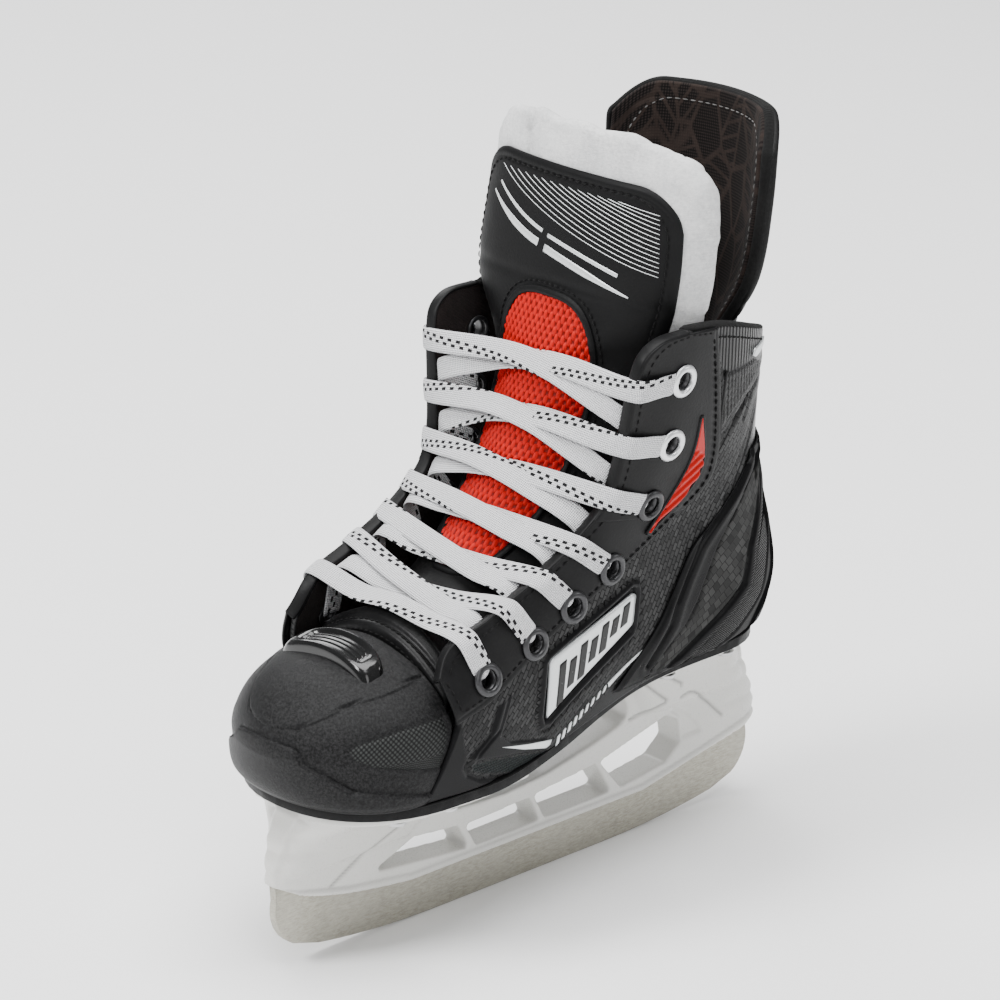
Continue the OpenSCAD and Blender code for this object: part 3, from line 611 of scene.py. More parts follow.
def counter_look():
    """Glossy heel moulding with a woven inlay and a finely ribbed strip."""
    k = Look("counter_gloss")
    flat = k.at("UV", (1, 1, 1), (0, 0, math.radians(30)))
    woven = {"Vector": flat, "Scale": 1.0, "Mortar Size": 0.18, "Mortar Smooth": 0.6, "Brick Width": 2.6,
             "Row Height": 2.6, "Bias": 0.0}
    shade = k.step("TexBrick", {**woven, "Color1": (0.1, 0.1, 0.1), "Color2": (0.9, 0.9, 0.9),
                                "Mortar": (0, 0, 0)})
    wide = k.noise(k.at(), 0.1, 3)
    base = k.mixed(wide, (0.003, 0.003, 0.0033), (0.008, 0.008, 0.0083))
    base = k.mixed(k.attr("weave"), base, k.mixed(shade, (0.004, 0.004, 0.004), (0.04, 0.04, 0.039)))
    strip = sine(k, k.split(k.at("UV", (1, 1, 1), (0, 0, math.radians(8))), 1), 0.8)
    ribs = k.mul(strip, k.attr("ribs"))
    # Painted highlight: the crests of the fine ribs are painted a little lighter than the black round
    # them.
    base = k.mixed(k.mul(k.fit(strip, 0.1, 0.8), k.attr("ribs")), base, (0.008, 0.008, 0.0078))
    height = k.add(k.mul(ribs, 1.4), k.mul(k.mul(shade, k.attr("weave")), 1.0))
    height = k.add(height, k.mul(k.noise(k.at(), 1.6, 4), 0.25))
    rough = k.fit(k.add(k.attr("weave"), k.mul(wide, 0.3)), 0.0, 1.3, 0.24, 0.5)
    facing = k.step("LayerWeight", {"Blend": 0.5}, 1)
    shine = k.fit(facing, 0.45, 0.8, 1.0, 0.0)
    return k.use(base=base, rough=rough, normal=k.bump(height, 0.09), coat=k.mul(shine, 0.03),
                 coat_rough=0.1, spec=k.mul(shine, 0.06))


def toe_look():
    k = Look("toe_plastic")
    at = k.at()
    grain = k.noise(at, 1.25, 6, 0.8)
    net = k.cells(k.at("UV", (1.1, 1, 1), (0, 0, math.radians(45))), 1.0, random=0.0)
    zone = k.attr("mesh")
    base = k.mixed(k.fit(grain, 0.42, 0.62), (0.002, 0.002, 0.0022), (0.02, 0.02, 0.0205))
    # Painted shade: in the mesh panel the pits between the raised cells are painted near black and the
    # cell tops a lighter grey.
    net_with_pit_shade = k.mixed(k.fit(net, 0.22, 0.5), (0.03, 0.032, 0.031), (0.004, 0.004, 0.004))
    base = k.mixed(zone, base, net_with_pit_shade)
    height = k.add(k.mul(grain, k.sub(1.0, zone)),
                    k.mul(k.mul(net, zone), -1.6))
    return k.use(base=base, rough=k.fit(grain, 0.35, 0.65, 0.4, 0.54), normal=k.bump(height, 0.2),
                 spec=0.14)


def felt_look():
    k = Look("white_felt")
    at = k.at()
    warp = k.noise(at, 0.35, 3, 0.6, 1)
    hairs = k.noise(k.step("VectorMath", {0: at, 1: warp}, operation="ADD"), 0.9, 8, 0.85)
    long = k.noise(k.at("Object", (900, 300, 2600)), 0.8, 5, 0.7)
    fluff = k.add(hairs, k.mul(long, 0.5))
    blotch = k.noise(at, 0.08, 3)
    # Tone is partly random blotches and partly painted shade: it follows the fibre bump, darker where the
    # fluff sits low.
    tone = k.fit(k.add(fluff, k.mul(blotch, 0.6)), 0.78, 1.22)
    return k.use(base=k.mixed(tone, (0.5, 0.505, 0.51), (0.84, 0.84, 0.835)), rough=0.95,
                 normal=k.bump(fluff, 0.55), sheen=0.06, sheen_rough=0.6, spec=0.08)


def mesh_look():
    k = Look("red_mesh")
    at = k.at()
    fine = k.noise(at, 3.2, 4, 0.6)
    high = k.attr("high")
    # Painted shade: the pits of the knit, low in the high attribute, are painted near black, and only the
    # raised cells keep the full red.
    base = k.mixed(k.fit(high, -0.15, 0.55), (0.03, 0.0006, 0.0003), (0.47, 0.003, 0.001))
    base = k.mixed(k.mul(k.fit(fine, 0.45, 0.75), 0.2), base, (0.56, 0.008, 0.004))
    return k.use(base=base, rough=0.5, normal=k.bump(fine, 0.06), spec=0.14)


def lace_look():
    """Flat braid: a small diamond weave with two staggered rows of dark dashes. UV is in millimetres."""
    k = Look("white_lace")
    uv = k.at("UV", (1, 1, 1))
    along, across = k.split(uv, 0), k.split(uv, 1)
    a = sine(k, k.add(along, across), 1.25)
    b = sine(k, k.sub(along, across), 1.25)
    weave = k.mul(a, b)
    turned = k.mul(k.math("SINE", k.mul(k.attr("tracer"), math.pi / 14)), 14 / math.pi)
    row = k.math("SIGN", turned)
    shifted = k.add(along, k.mul(row, 0.82))
    wave = k.math("PINGPONG", shifted, 1.65)
    dash = k.math("LESS_THAN", wave, 0.8)
    lean = k.math("ABSOLUTE", k.sub(k.math("ABSOLUTE", turned), 0.72))
    inside_row = k.math("LESS_THAN", lean, 0.46)
    thread = k.mul(dash, inside_row)
    fuzz = k.noise(uv, 2.4, 5, 0.7)
    # Painted shade: the weave's low cells are painted a darker grey than its raised cells; the fuzz adds
    # random tone.
    tone = k.fit(k.add(weave, k.mul(fuzz, 0.6)), -0.55, 0.5)
    white = k.mixed(tone, (0.36, 0.365, 0.385), (0.85, 0.85, 0.86))
    base = k.mixed(thread, white, (0.008, 0.008, 0.009))
    height = k.add(weave, k.mul(fuzz, 0.5))
    return k.use(base=base, rough=0.85, normal=k.bump(height, 0.26), sheen=0.04, spec=0.12)


def fabric(name, dark, light, pitch, rough=0.9, depth=0.12):
    k = Look(name)
    at = k.at()
    x, y, z = (k.split(at, i) for i in range(3))
    warp = sine(k, k.add(k.add(x, y), z), pitch)
    weft = sine(k, k.sub(k.add(x, y), z), pitch)
    pile = k.noise(at, 1.1, 7, 0.8)
    height = k.add(k.mul(warp, weft), k.mul(pile, 1.6))
    return k.use(base=k.mixed(k.fit(k.add(pile, k.mul(k.noise(at, 0.12), 0.5)), 0.5, 1.0), dark, light),
                 rough=rough, normal=k.bump(height, depth), sheen=0.04, spec=0.08)


def guard_cloth():
    """Fine dotted cloth printed with broken straight lines, as on the inside of the tendon guard."""
    k = Look("guard_textile")
    flat = k.at("UV", (1, 1, 1))
    tilted = k.at("UV", (1.0, 0.62, 1), (0, 0, math.radians(24)))
    big = k.cells(tilted, 0.085, "DISTANCE_TO_EDGE")
    pick = k.cells(tilted, 0.085, out=1)
    turn = k.mul(k.math("SNAP", k.split(pick, 0), 0.2), math.pi)
    run = k.add(k.mul(k.split(flat, 0), k.math("COSINE", turn)),
                 k.mul(k.split(flat, 1), k.math("SINE", turn)))
    streaks = k.mul(k.fit(k.math("PINGPONG", run, 2.1), 0.35, 0.75, 1, 0),
                     k.math("GREATER_THAN", k.split(pick, 1), 0.45))
    bars = k.math("MAXIMUM", k.fit(big, 0.03, 0.07, 1, 0), streaks)
    dots = k.cells(flat, 1.1, random=0.0)
    speck = k.fit(dots, 0.2, 0.45, 1, 0)
    shade = k.noise(flat, 0.09, 3)
    ground = k.mixed(k.mul(speck, 0.6), (0.003, 0.0024, 0.0023), (0.03, 0.023, 0.021))
    ink = k.mixed(shade, (0.036, 0.026, 0.022), (0.012, 0.008, 0.007))
    base = k.mixed(k.mul(bars, 0.85), ground, ink)
    height = k.add(k.mul(dots, -1.2), k.mul(bars, 0.4))
    return k.use(base=base, rough=0.82, normal=k.bump(height, 0.14), sheen=0.03, spec=0.08)


def steel_look():
    k = Look("runner_steel")
    streak = k.noise(k.at("Object", (1000, 450, 1500), (0, 0, 0)), 0.8, 8, 0.85)
    fine = k.noise(k.at("Object", (1000, 420, 2600)), 1.1, 5, 0.75)
    wide = k.noise(k.at(), 0.05, 3)
    tone = k.fit(k.add(streak, k.mul(fine, 0.6)), 0.6, 1.0)
    base = k.mixed(tone, (0.24, 0.23, 0.19), (0.52, 0.5, 0.43))
    base = k.mixed(k.fit(wide, 0.35, 0.7, 0, 0.4), base, (0.42, 0.405, 0.355))
    return k.use(base=base, metal=0.72, rough=k.fit(streak, 0.3, 0.7, 0.36, 0.52),
                 normal=k.bump(k.add(streak, fine), 0.02), spec=0.5)


def plastic_white():
    k = Look("holder_plastic")
    at = k.at()
    wide = k.noise(at, 0.035, 3)
    fine = k.noise(at, 2.0, 4, 0.6)
    white = k.mixed(wide, (0.55, 0.545, 0.515), (0.64, 0.635, 0.61))
    # Painted shade: the line attribute marks the holder's grooves, which are painted darker grey.
    return k.use(base=k.mixed(k.mul(k.attr("line"), 0.75), white, (0.16, 0.16, 0.15)),
                 rough=k.fit(fine, 0.3, 0.7, 0.24, 0.36),
                 normal=k.bump(k.add(k.mul(fine, 0.4), k.noise(at, 0.25, 2)), 0.04),
                 spec=0.5)


def metal(name, dark, light, rough, metallic=1.0):
    k = Look(name)
    at = k.at()
    fine = k.noise(at, 1.5, 5, 0.7)
    return k.use(base=k.mixed(fine, dark, light), metal=metallic,
                 rough=k.fit(fine, 0.3, 0.7, rough, rough + 0.12), normal=k.bump(fine, 0.015))


LEATHER = leather("black_leather", (0.003, 0.003, 0.0032), (0.008, 0.008, 0.0082), 0.34, 0.7, 0.06)
EYESTAY_SKIN = leather("eyestay_leather", (0.0042, 0.0042, 0.0044), (0.008, 0.008, 0.0083),
                       0.46, 1.2, 0.035)
PATCH = leather("tongue_leather", (0.0028, 0.0028, 0.003), (0.0055, 0.0055, 0.0057), 0.52, 1.3, 0.035)
SHELL = shell_look()
COUNTER_SKIN = counter_look()
TOE = toe_look()
BADGE = gloss("badge_gloss", (0.002, 0.002, 0.002), (0.006, 0.006, 0.006), 0.16, 0.6)
FELT = felt_look()
RED_MESH = mesh_look()
LACE = lace_look()
LINING = fabric("lining_fabric", (0.004, 0.0028, 0.0027), (0.02, 0.0135, 0.0125), 0.9)
BINDING = fabric("binding_fabric", (0.003, 0.003, 0.003), (0.013, 0.0128, 0.0128), 0.6, depth=0.09)
GUARD_CLOTH = guard_cloth()
GUARD = grained("guard_plastic", (0.004, 0.004, 0.004), (0.01, 0.01, 0.01), 0.5, 0.05)
SOLE = grained("outsole_plastic", (0.0025, 0.0025, 0.0027), (0.007, 0.007, 0.0072), 0.4, 0.05)
BOARD = fabric("lasting_board", (0.05, 0.034, 0.024), (0.13, 0.09, 0.06), 1.4)
FOOTBED = grained("footbed_foam", (0.02, 0.02, 0.022), (0.05, 0.05, 0.055), 0.85, 0.2, 0.8)
STEEL = steel_look()
WHITE = plastic_white()
SILVER = metal("eyelet_silver", (0.62, 0.63, 0.64), (0.84, 0.85, 0.86), 0.28, 0.75)
DARK_METAL = metal("eyelet_dark", (0.02, 0.02, 0.021), (0.06, 0.06, 0.063), 0.26, 0.6)
RIVET = metal("rivet_steel", (0.38, 0.38, 0.38), (0.6, 0.6, 0.6), 0.3)
PRINT = metal("badge_silver", (0.52, 0.545, 0.55), (0.78, 0.8, 0.8), 0.3, 0.45)
INK = gloss("badge_ink", (0.006, 0.006, 0.006), (0.014, 0.014, 0.014), 0.3, 0.2)
RED = gloss("red_insert", (0.33, 0.003, 0.0015), (0.46, 0.006, 0.003), 0.3, 0.12)
GREY_THREAD = fabric("grey_thread", (0.09, 0.088, 0.085), (0.3, 0.295, 0.29), 0.5, 0.7)
THREAD = fabric("black_thread", (0.0015, 0.0015, 0.0015), (0.006, 0.006, 0.006), 0.5, 0.7)
FLOOR = Look("floor_paper")
FLOOR.use(base=FLOOR.mixed(FLOOR.noise(FLOOR.at("Object", (20, 20, 20)), 1.0),
                           (0.915, 0.915, 0.915), (0.93, 0.93, 0.93)), rough=0.9, spec=0.1)

# ---------- small builders ----------


def band(heap, place, line, half, off, height):
    """A raised strip along a line of places; half is its half width, or several along it."""
    pts = smooth_path(line, 0.8)
    base = place(pts, off)
    up = place(pts, off + 1.0) - base
    half = np.atleast_1d(half)
    widths = np.interp(np.linspace(0, 1, len(pts)), np.linspace(0, 1, len(half)), half)
    prof = np.array([[-1, -0.5], [-1, 0.35], [-0.65, 1], [0.65, 1], [1, 0.35], [1, -0.5]])
    prof = np.stack([prof[None, :, 0] * widths[:, None],
                     np.broadcast_to(prof[:, 1] * height, (len(pts), 6))], -1)
    run = run_along(base)
    v, f = sweep(base, up, prof)
    heap.add(v, f, np.stack([np.repeat(run, 6), np.tile([0, 1, 2, 3, 4, 5], len(pts))], 1))


def patch(heap, place, outline, off, height, step=0.8):
    """A raised patch with soft edges inside a closed outline of places, built as rings."""
    ring = np.asarray(outline, float)
    edge = np.vstack([ring, ring[:1]])
    far = run_along(edge)
    at = np.linspace(0, far[-1], max(12, int(far[-1] / step)), endpoint=False)
    ring = np.stack([np.interp(at, far, edge[:, i]) for i in (0, 1)], 1)
    mid = ring.mean(0)
    n = len(ring)
    shares = [1.0, 1.0, 0.93, 0.75, 0.5, 0.25, 0.02]
    lifts = [-0.3, 0.6, 1, 1, 1, 1, 1]
    pts = [place(mid + (ring - mid) * s, off + height * k) for s, k in zip(shares, lifts)]
    flat = np.concatenate([mid + (ring - mid) * s for s in shares])
    faces = quads(len(shares), n, wrap=True)
    p = np.concatenate(pts)
    up = place(ring[:1], off + 1)[0] - place(ring[:1], off)[0]
    if np.dot(np.cross(p[1] - p[0], p[3 * n] - p[0]), up) < 0:
        faces = faces[:, ::-1]
    heap.add(p, faces, flat)


def lathe(heap, profile, origin, axis):
    """A turned shape, closed on itself; profile rows are [radius, height] along the axis."""
    axis = unit(axis)
    side = unit(np.cross(axis, [0.3, 0.2, 1.0]))
    other = np.cross(axis, side)
    segs = 32
    a = np.linspace(0, 2 * math.pi, segs, endpoint=False)
    prof = np.asarray(profile, float)
    ring = np.cos(a)[:, None, None] * side + np.sin(a)[:, None, None] * other
    pts = np.asarray(origin) + ring * prof[None, :, :1] + axis * prof[None, :, 1:]
    m = len(prof)
    i, j = np.meshgrid(np.arange(segs), np.arange(m), indexing="ij")
    after_i, after_j = (i + 1) % segs, (j + 1) % m
    faces = np.stack([i * m + j, i * m + after_j, after_i * m + after_j, after_i * m + j], -1)
    heap.add(pts.reshape(-1, 3), faces.reshape(-1, 4))


def cad_copy(node, name, mat, bevel=0.0):
    """A copy of a CAD node's mesh with soft edges; the node itself is left alone."""
    source = bpy.data.objects[node]
    me = source.data.copy()
    only_material(me, mat)
    sharp = math.radians(35)
    obj = bpy.data.objects.new(name, me)
    bpy.context.scene.collection.objects.link(obj)
    modify(obj, "WELD", merge_threshold=0.01 * MM)
    if bevel:
        modify(obj, "BEVEL", width=bevel * MM, segments=3, limit_method="ANGLE", angle_limit=sharp,
               harden_normals=True)
    apply_all(obj)
    shade_smooth(obj.data)
    obj.data.set_sharp_from_angle(angle=sharp)
    return obj


def modify(obj, kind, **settings):
    mod = obj.modifiers.new(kind, kind)
    for key, value in settings.items():
        setattr(mod, key, value)


def shade_smooth(me):
    me.polygons.foreach_set("use_smooth", np.ones(len(me.polygons), bool))


def only_material(me, mat):
    me.materials.clear()
    me.materials.append(mat)


def apply_all(obj):
    graph = bpy.context.evaluated_depsgraph_get()
    made = bpy.data.meshes.new_from_object(obj.evaluated_get(graph))
    obj.modifiers.clear()
    old = obj.data
    obj.data = made
    bpy.data.meshes.remove(old)


def vectors_of(obj, key):
    got = np.zeros(len(obj.data.vertices) * 3, np.float32)
    obj.data.vertices.foreach_get(key, got)
    return got.reshape(-1, 3).astype(float)


def points_of(obj):
    return vectors_of(obj, "co") / MM


def set_points(obj, pts):
    obj.data.vertices.foreach_set("co", (pts * MM).astype(np.float32).ravel())
    obj.data.update()


def cut_eyelets(verts, faces, label, centres, radius):
    """Leaves out the faces round every eyelet's axis."""
    mid = verts[faces].mean(1)
    keep = np.ones(len(faces), bool)
    for c, axis in centres:
        d = mid - c
        along = d @ axis
        far = np.linalg.norm(d - along[:, None] * axis, axis=1)
        keep &= ~((far < radius) & (np.abs(along) < 9))
    return faces[keep], label[keep]


def eyelet_axes(side):
    pts = np.array(EYELETS, float)
    base = side_at(pts, GAP + OVER_T, side)
    return list(zip(base, unit(side_at(pts, GAP + OVER_T + 1, side) - base)))


# ---------- quarters ----------
def top_edge(t):
    a = spline(COLLAR, t / 0.45)
    b = on_arc(spline(THROAT, (t - 0.45) / 0.55))
    return np.where((t < 0.45)[..., None], a, b)


LOW_Z = BALL_Z + SOLE_T + 0.5
LOW_ARC = float(s_at(-70, LOW_Z))


def low_edge(t, lift):
    s = t * LOW_ARC
    return np.stack([s, sole_z(y_at(s, np.full_like(s, LOW_Z))) + lift], -1)


def quarter_places(nt, nv):
    t, v = grid(nt, nv)
    low, high = low_edge(t, SOLE_T + 0.5), top_edge(t)
    p = mix(low, high, v[..., None])
    end = mix(low_edge(np.ones_like(t), SOLE_T + 0.5), top_edge(np.ones_like(t)), v[..., None])
    seam_s = s_at(spline(SEAM, end[..., 1]) + 0.8, end[..., 1])
    p[..., 0] += (seam_s - end[..., 0]) * t**10
    p[..., 0] = np.maximum(GAP, p[..., 0])
    return p


BADGE_FRAME = [[-25, 70.2], [-22.9, 86.6], [-21.5, 88.1], [12.2, 101.8], [14.8, 101], [15.6, 98.4],
               [14.8, 87.6], [13.6, 85.4], [-21.1, 66.7], [-24, 67]]
V_OUTER = [[-42.3, 78.9], [-46.2, 70.8], [-54.4, 65.8], [-55.6, 63.2], [-54.6, 61], [-50, 58.2],
           [-33.2, 53.8], [-27, 53.9], [-16, 56.4]]
V_INNER = [[-38.6, 80], [-42.4, 71.6], [-50.6, 66.4], [-52, 64.8], [-47, 63.2], [-21.6, 58.4]]
MESH_STRIP = [[-53.2, 63.4], [-47, 63], [-21.6, 57.6], [-27, 54.9], [-33, 55], [-48.5, 59.6],
              [-53, 61.4]]
SMOOTH_V = [[-42.3, 78.9], [-46.2, 70.8], [-54.4, 65.8], [-52, 64.8], [-21.6, 58.4], [-21.7, 62.3],
            [-37.8, 66.4], [-41.6, 69.4], [-35.8, 81.4]]
LOWER_SMOOTH = [[-76, 50], [-76, 76], [-58, 80], [-55.6, 63.2], [-50, 58.2], [-33.2, 53.8],
                [-20, 56.6], [6, 68.6], [30, 82], [24, 70], [16, 60], [-10, 52], [-50, 49]]
CARBON_EDGE = [[-35.8, 81.4], [-41.6, 69.4], [-37.8, 66.4], [-21.7, 62.3]]
COUNTER_LINES = {
    "L2": [[63, 126], [47.2, 112.2], [41.1, 106], [36.2, 97.6], [32.2, 89.7], [30.3, 83.6], [22.3, 72.1]],
    "L3": [[66, 122], [54.4, 110.3], [49.9, 104.5], [46.4, 97.6], [42.5, 89.3], [37.5, 81.6], [24.4, 70]],
    "L4": [[82, 124], [70, 104.8], [66.6, 98.7], [63.2, 87.7], [52.9, 80.2], [39.6, 71.3], [32.4, 66.9]],
    "L5": [[90, 114], [82.4, 99.6], [77.6, 90], [74.2, 80.5], [64.4, 71.6], [46.6, 63.6]],
    "L6": [[94.2, 96], [91.2, 84], [87.2, 74.6], [78, 67.6]],
}
PATCH_GREY = [[40.6, 161.6], [61.2, 160.9], [66, 158], [50.5, 150], [42.3, 144]]
COLLAR_STRIPES = [[34.5, 178.6], [41.5, 162.8], [66, 163], [84, 166], [86.5, 181], [60, 178]]
HEEL_STRIPES = [[66, 158], [84, 160], [87, 154.5], [70, 153], [60, 152.6]]
UPPER_SMOOTH = [[34, 182], [42, 161.5], [62, 160.8], [66, 158.5], [84, 160.5], [90, 160.5],
                [90, 184], [60, 182]]


def soft_inside(p, poly, edge=0.5):
    return np.clip(inside(p, poly) / edge + 0.5, 0, 1)


def quarter(name, side, node, lining_mat):
    p = quarter_places(420, 200)
    y, z = y_at(p[..., 0], p[..., 1]), p[..., 1]
    q = np.stack([y, z], -1)
    off = np.zeros(y.shape)
    frame_in = inside(q, BADGE_FRAME)
    off += 0.8 * bell(frame_in - 0.1, 1.0) - 0.8 * smooth((frame_in - 0.9) / 0.9)
    off -= 0.5 * bell(frame_in + 1.9, 0.5)
    off += groove(gap_to(q, V_OUTER), 0.95, 0.85) + groove(gap_to(q, V_INNER), 0.5, 0.35)
    off -= 0.45 * soft_inside(q, MESH_STRIP, 1.2)
    off += 0.35 * soft_inside(q, SMOOTH_V, 1.0) + groove(gap_to(q, CARBON_EDGE), 0.5, 0.35)
    ankle = [[42, 139.3], [52, 146], [61, 151], [72, 153.5], [86, 154.5]]
    off += groove(gap_to(q, ankle), 0.7, 0.55) + 0.5 * smooth(
        (z - 140) / 20) * bell(gap_to(q, ankle) - 3, 3)
    fold = [[44.5, 137.5], [58, 150.8], [61.3, 149.4], [57, 143]]
    off += groove(gap_to(q, fold), 0.8, 0.6)
    off += groove(gap_to(q, [[52.5, 118], [58, 124], [66, 138], [74, 148], [87, 151.5]]), 1.0, 0.7)
    off += groove(gap_to(q, [[36, 106], [44, 116], [52, 124], [62, 137], [70, 149]]), 0.8, 0.35)
    off += 0.45 * soft_inside(q, PATCH_GREY, 0.8)
    collar_stripes = soft_inside(q, COLLAR_STRIPES, 2)
    heel_stripes = soft_inside(q, HEEL_STRIPES, 1.2)
    smooth_zone = np.clip(
        soft_inside(q, LOWER_SMOOTH) + soft_inside(q, SMOOTH_V) + soft_inside(q, UPPER_SMOOTH)
        + (frame_in > -1.2) * 1.0 + smooth((y - 66) / 4) * smooth((z - 128) / 6), 0, 1)
    mesh_zone = soft_inside(q, MESH_STRIP, 0.8)
    rib_zone = np.clip(collar_stripes + heel_stripes + 0.6 * soft_inside(q, PATCH_GREY), 0, 1)
    rib_zone *= np.clip((y - 34) / 8, 0, 1)
    near = shell_at(p[..., 0], z, off, side)
    far = shell_at(p[..., 0], z, np.full(y.shape, -SHELL_T), side)
    uv = np.stack([p[..., 0], z], -1)
    v, f, uvs, label, flat = slab_data(near, far, uv)
    f, label = cut_eyelets(v, f, label, eyelet_axes(side), EYELET_HOLE)
    attrs = {}
    for key, val in (("smooth", smooth_zone), ("mesh", mesh_zone), ("ribs", rib_zone)):
        val = val.ravel()
        attrs[key] = np.concatenate([val, val * 0 + 1 * (key == "smooth")] + [val[flat]] * 2)
    obj = mesh_obj(name, v, f, [SHELL, lining_mat], uvs, np.array([0, 1, 0])[label], attrs)
    return finish_piece(obj, "boot", [node], "quarter_shell")


def eyestay(name, side, node):
    """Leather that carries the eyelets, in two layers: the ankle part laps over the lower part."""
    def part(t0, t1, off, thick, nt):
        t, w = grid(nt, 44, (t0, t1))
        p = mix(spline(EYESTAY, t), spline(THROAT, t), w[..., None])
        crown = -0.25 * bell(w, 0.05)
        line = np.minimum(np.abs(w - 0.085), 1)
        dent = groove(line * 30, 0.8, 0.22)
        uv = np.stack([p[..., 0], p[..., 1]], -1)
        return slab_data(side_at(p, off + thick + crown + dent, side), side_at(p, off, side), uv)
    heap = Heap()
    for t0, t1, off, thick, nt in ((0.0, 0.53, GAP + 0.1, OVER_T + 0.35, 150),
                                   (0.5, 1.0, GAP, OVER_T, 180)):
        v, f, uvs, label, _ = part(t0, t1, off, thick, nt)
        f, label = cut_eyelets(v, f, label, eyelet_axes(side), EYELET_HOLE)
        heap.add(v, f, uvs)
    edge = spline(THROAT, np.linspace(0, 1, 220))
    mid = side_at(edge, (GAP + OVER_T - SHELL_T) / 2, side)
    up = side_at(edge, 2.0, side) - side_at(edge, 0.0, side)
    half = (SHELL_T + GAP + OVER_T) / 2 + 0.12
    roll = ring_profile(EDGE_ROLL, half, 14)[::-1]
    tall = np.sign(roll) * np.stack([np.abs(roll[:, 0] / EDGE_ROLL) ** 0.8 * EDGE_ROLL,
                                     np.abs(roll[:, 1] / half) ** 0.55 * half], 1)
    heap.add(*sweep(mid, up, tall))
    obj = heap.make(name, EYESTAY_SKIN)
    finish_piece(obj, "boot", [node], "eyestay_leather")
    threads = Heap()

    def place(q, off):
        return side_at(q, off, side)

    def beside(edge, other, mm, t):
        """A line that many mm in from one edge, towards the other."""
        a, b = spline(edge, t), spline(other, t)
        return mix(a, b, (mm / np.linalg.norm(b - a, axis=1))[:, None])

    ankle, lower = GAP + OVER_T + 0.42, GAP + OVER_T + 0.05
    lead = beside(THROAT, EYESTAY, 3.0, np.linspace(0.012, 0.985, 60))
    cut = int(0.52 * 60)
    seam(threads, place, lead[:cut], ankle)
    seam(threads, place, lead[cut:], lower)
    seam(threads, place, beside(EYESTAY, THROAT, 2.6, np.linspace(0.02, 0.52, 40)), ankle)
    seam(threads, place, beside(EYESTAY, THROAT, 2.4, np.linspace(0.53, 0.985, 50)), lower)
    for t0, off in ((0.515, ankle), (0.988, lower), (0.012, ankle)):
        a, b = spline(EYESTAY, t0), spline(THROAT, t0)
        seam(threads, place, [mix(a, b, 0.12), mix(a, b, 0.5), mix(a, b, 0.88)], off)
    collar = spline(COLLAR, np.linspace(0.16, 0.98, 40))
    seam(threads, place, np.stack([y_at(collar[:, 0], collar[:, 1]), collar[:, 1] - 3.2], 1), 0.05)
    obj = threads.make(name + "_stitches", THREAD)
    finish_piece(obj, "boot", [], "eyestay_leather")


def eyelets():
    wall = SHELL_T + GAP + OVER_T
    washer = [[2.9, -wall - 1.2], [4.1, -wall - 1.2], [4.2, -wall - 0.8], [4.05, -wall - 0.55],
              [2.9, -wall - 0.5]]
    bead = [[2.9, 0.1], [3.4, 0.1], [5.0, 0.3], [5.12, 0.5], [4.98, 0.85], [4.5, 1.2], [3.9, 1.42],
            [3.4, 1.36], [3.05, 1.05], [2.9, 0.6]]
    sleeve = [[2.9, -wall - 0.5], [3.4, -wall - 0.5], [3.4, 0.1], [2.9, 0.2]]
    washers = Heap()
    for name, rows, mat, node, slot in (
            ("eyelets_silver", (5, 6), SILVER, "upper_eyelets", "eyelet_silver"),
            ("eyelets_dark", (0, 1, 2, 3, 4), DARK_METAL, "lower_eyelets", "eyelet_dark")):
        heap = Heap()
        for side in (1, -1):
            axes = eyelet_axes(side)
            for i in rows:
                lift = 0.4 if i >= 4 else 0.0
                lathe(heap, bead, axes[i][0] + axes[i][1] * lift, axes[i][1])
                lathe(washers, washer, axes[i][0], axes[i][1])
                lathe(washers, sleeve, axes[i][0], axes[i][1])
        finish_piece(heap.make(name, mat), "boot", [node], slot)
    finish_piece(washers.make("eyelet_washers", DARK_METAL), "boot", [], "eyelet_dark")


# ---------- heel counter ----------
def counter():
    i, j = grid(170, 420, b=(-1, 1))
    z = mix(HEEL_Z + SOLE_T + 1.6, COUNTER_TOP, i)
    s = s_at(spline(COUNTER, z), z) * np.abs(j)
    y = y_at(s, z)
    q = np.stack([y, z], -1)
    off = np.full(y.shape, 1.15)
    edge = gap_to(q, [[b, a] for a, b in COUNTER])
    off -= 0.75 * (1 - smooth(edge / 2.2))
    off -= (0.6 * (1 - smooth((COUNTER_TOP - z) / 2.0))
            + 0.5 * (1 - smooth((z - HEEL_Z - SOLE_T - 1.6) / 2.2)))
    d = {k: gap_to(q, line) for k, line in COUNTER_LINES.items()}
    off += groove(d["L2"], 0.7, 0.85) + groove(d["L3"], 0.55, 0.75) + groove(d["L4"], 0.8, 1.0)
    off += groove(d["L5"], 0.6, 0.6) + 0.5 * bell(d["L6"], 1.2)
    off += 0.35 * bell(d["L2"] - 2.6, 1.3) + 0.3 * bell(d["L4"] - 3.0, 1.4)
    woven = soft_inside(q, COUNTER_LINES["L3"] + COUNTER_LINES["L4"][::-1], 1.2)
    off -= 0.45 * woven
    ribs = soft_inside(q, COUNTER_LINES["L4"] + COUNTER_LINES["L5"][::-1], 1.5)
    ribs = ribs * np.clip((d["L4"] - 2.2) / 1, 0, 1)
    sg = np.where(j < 0, -1, 1)
    near, back = [np.where((sg < 0)[..., None], shell_at(s, z, rise, -1), shell_at(s, z, rise, 1))
                  for rise in (GAP + off, np.full(y.shape, GAP))]
    uv = np.stack([s * sg, z], -1)
    obj = slab("heel_counter_moulding", near, back, COUNTER_SKIN, uv, {"weave": woven, "ribs": ribs})
    finish_piece(obj, "boot", ["heel_counter"], "counter_gloss")


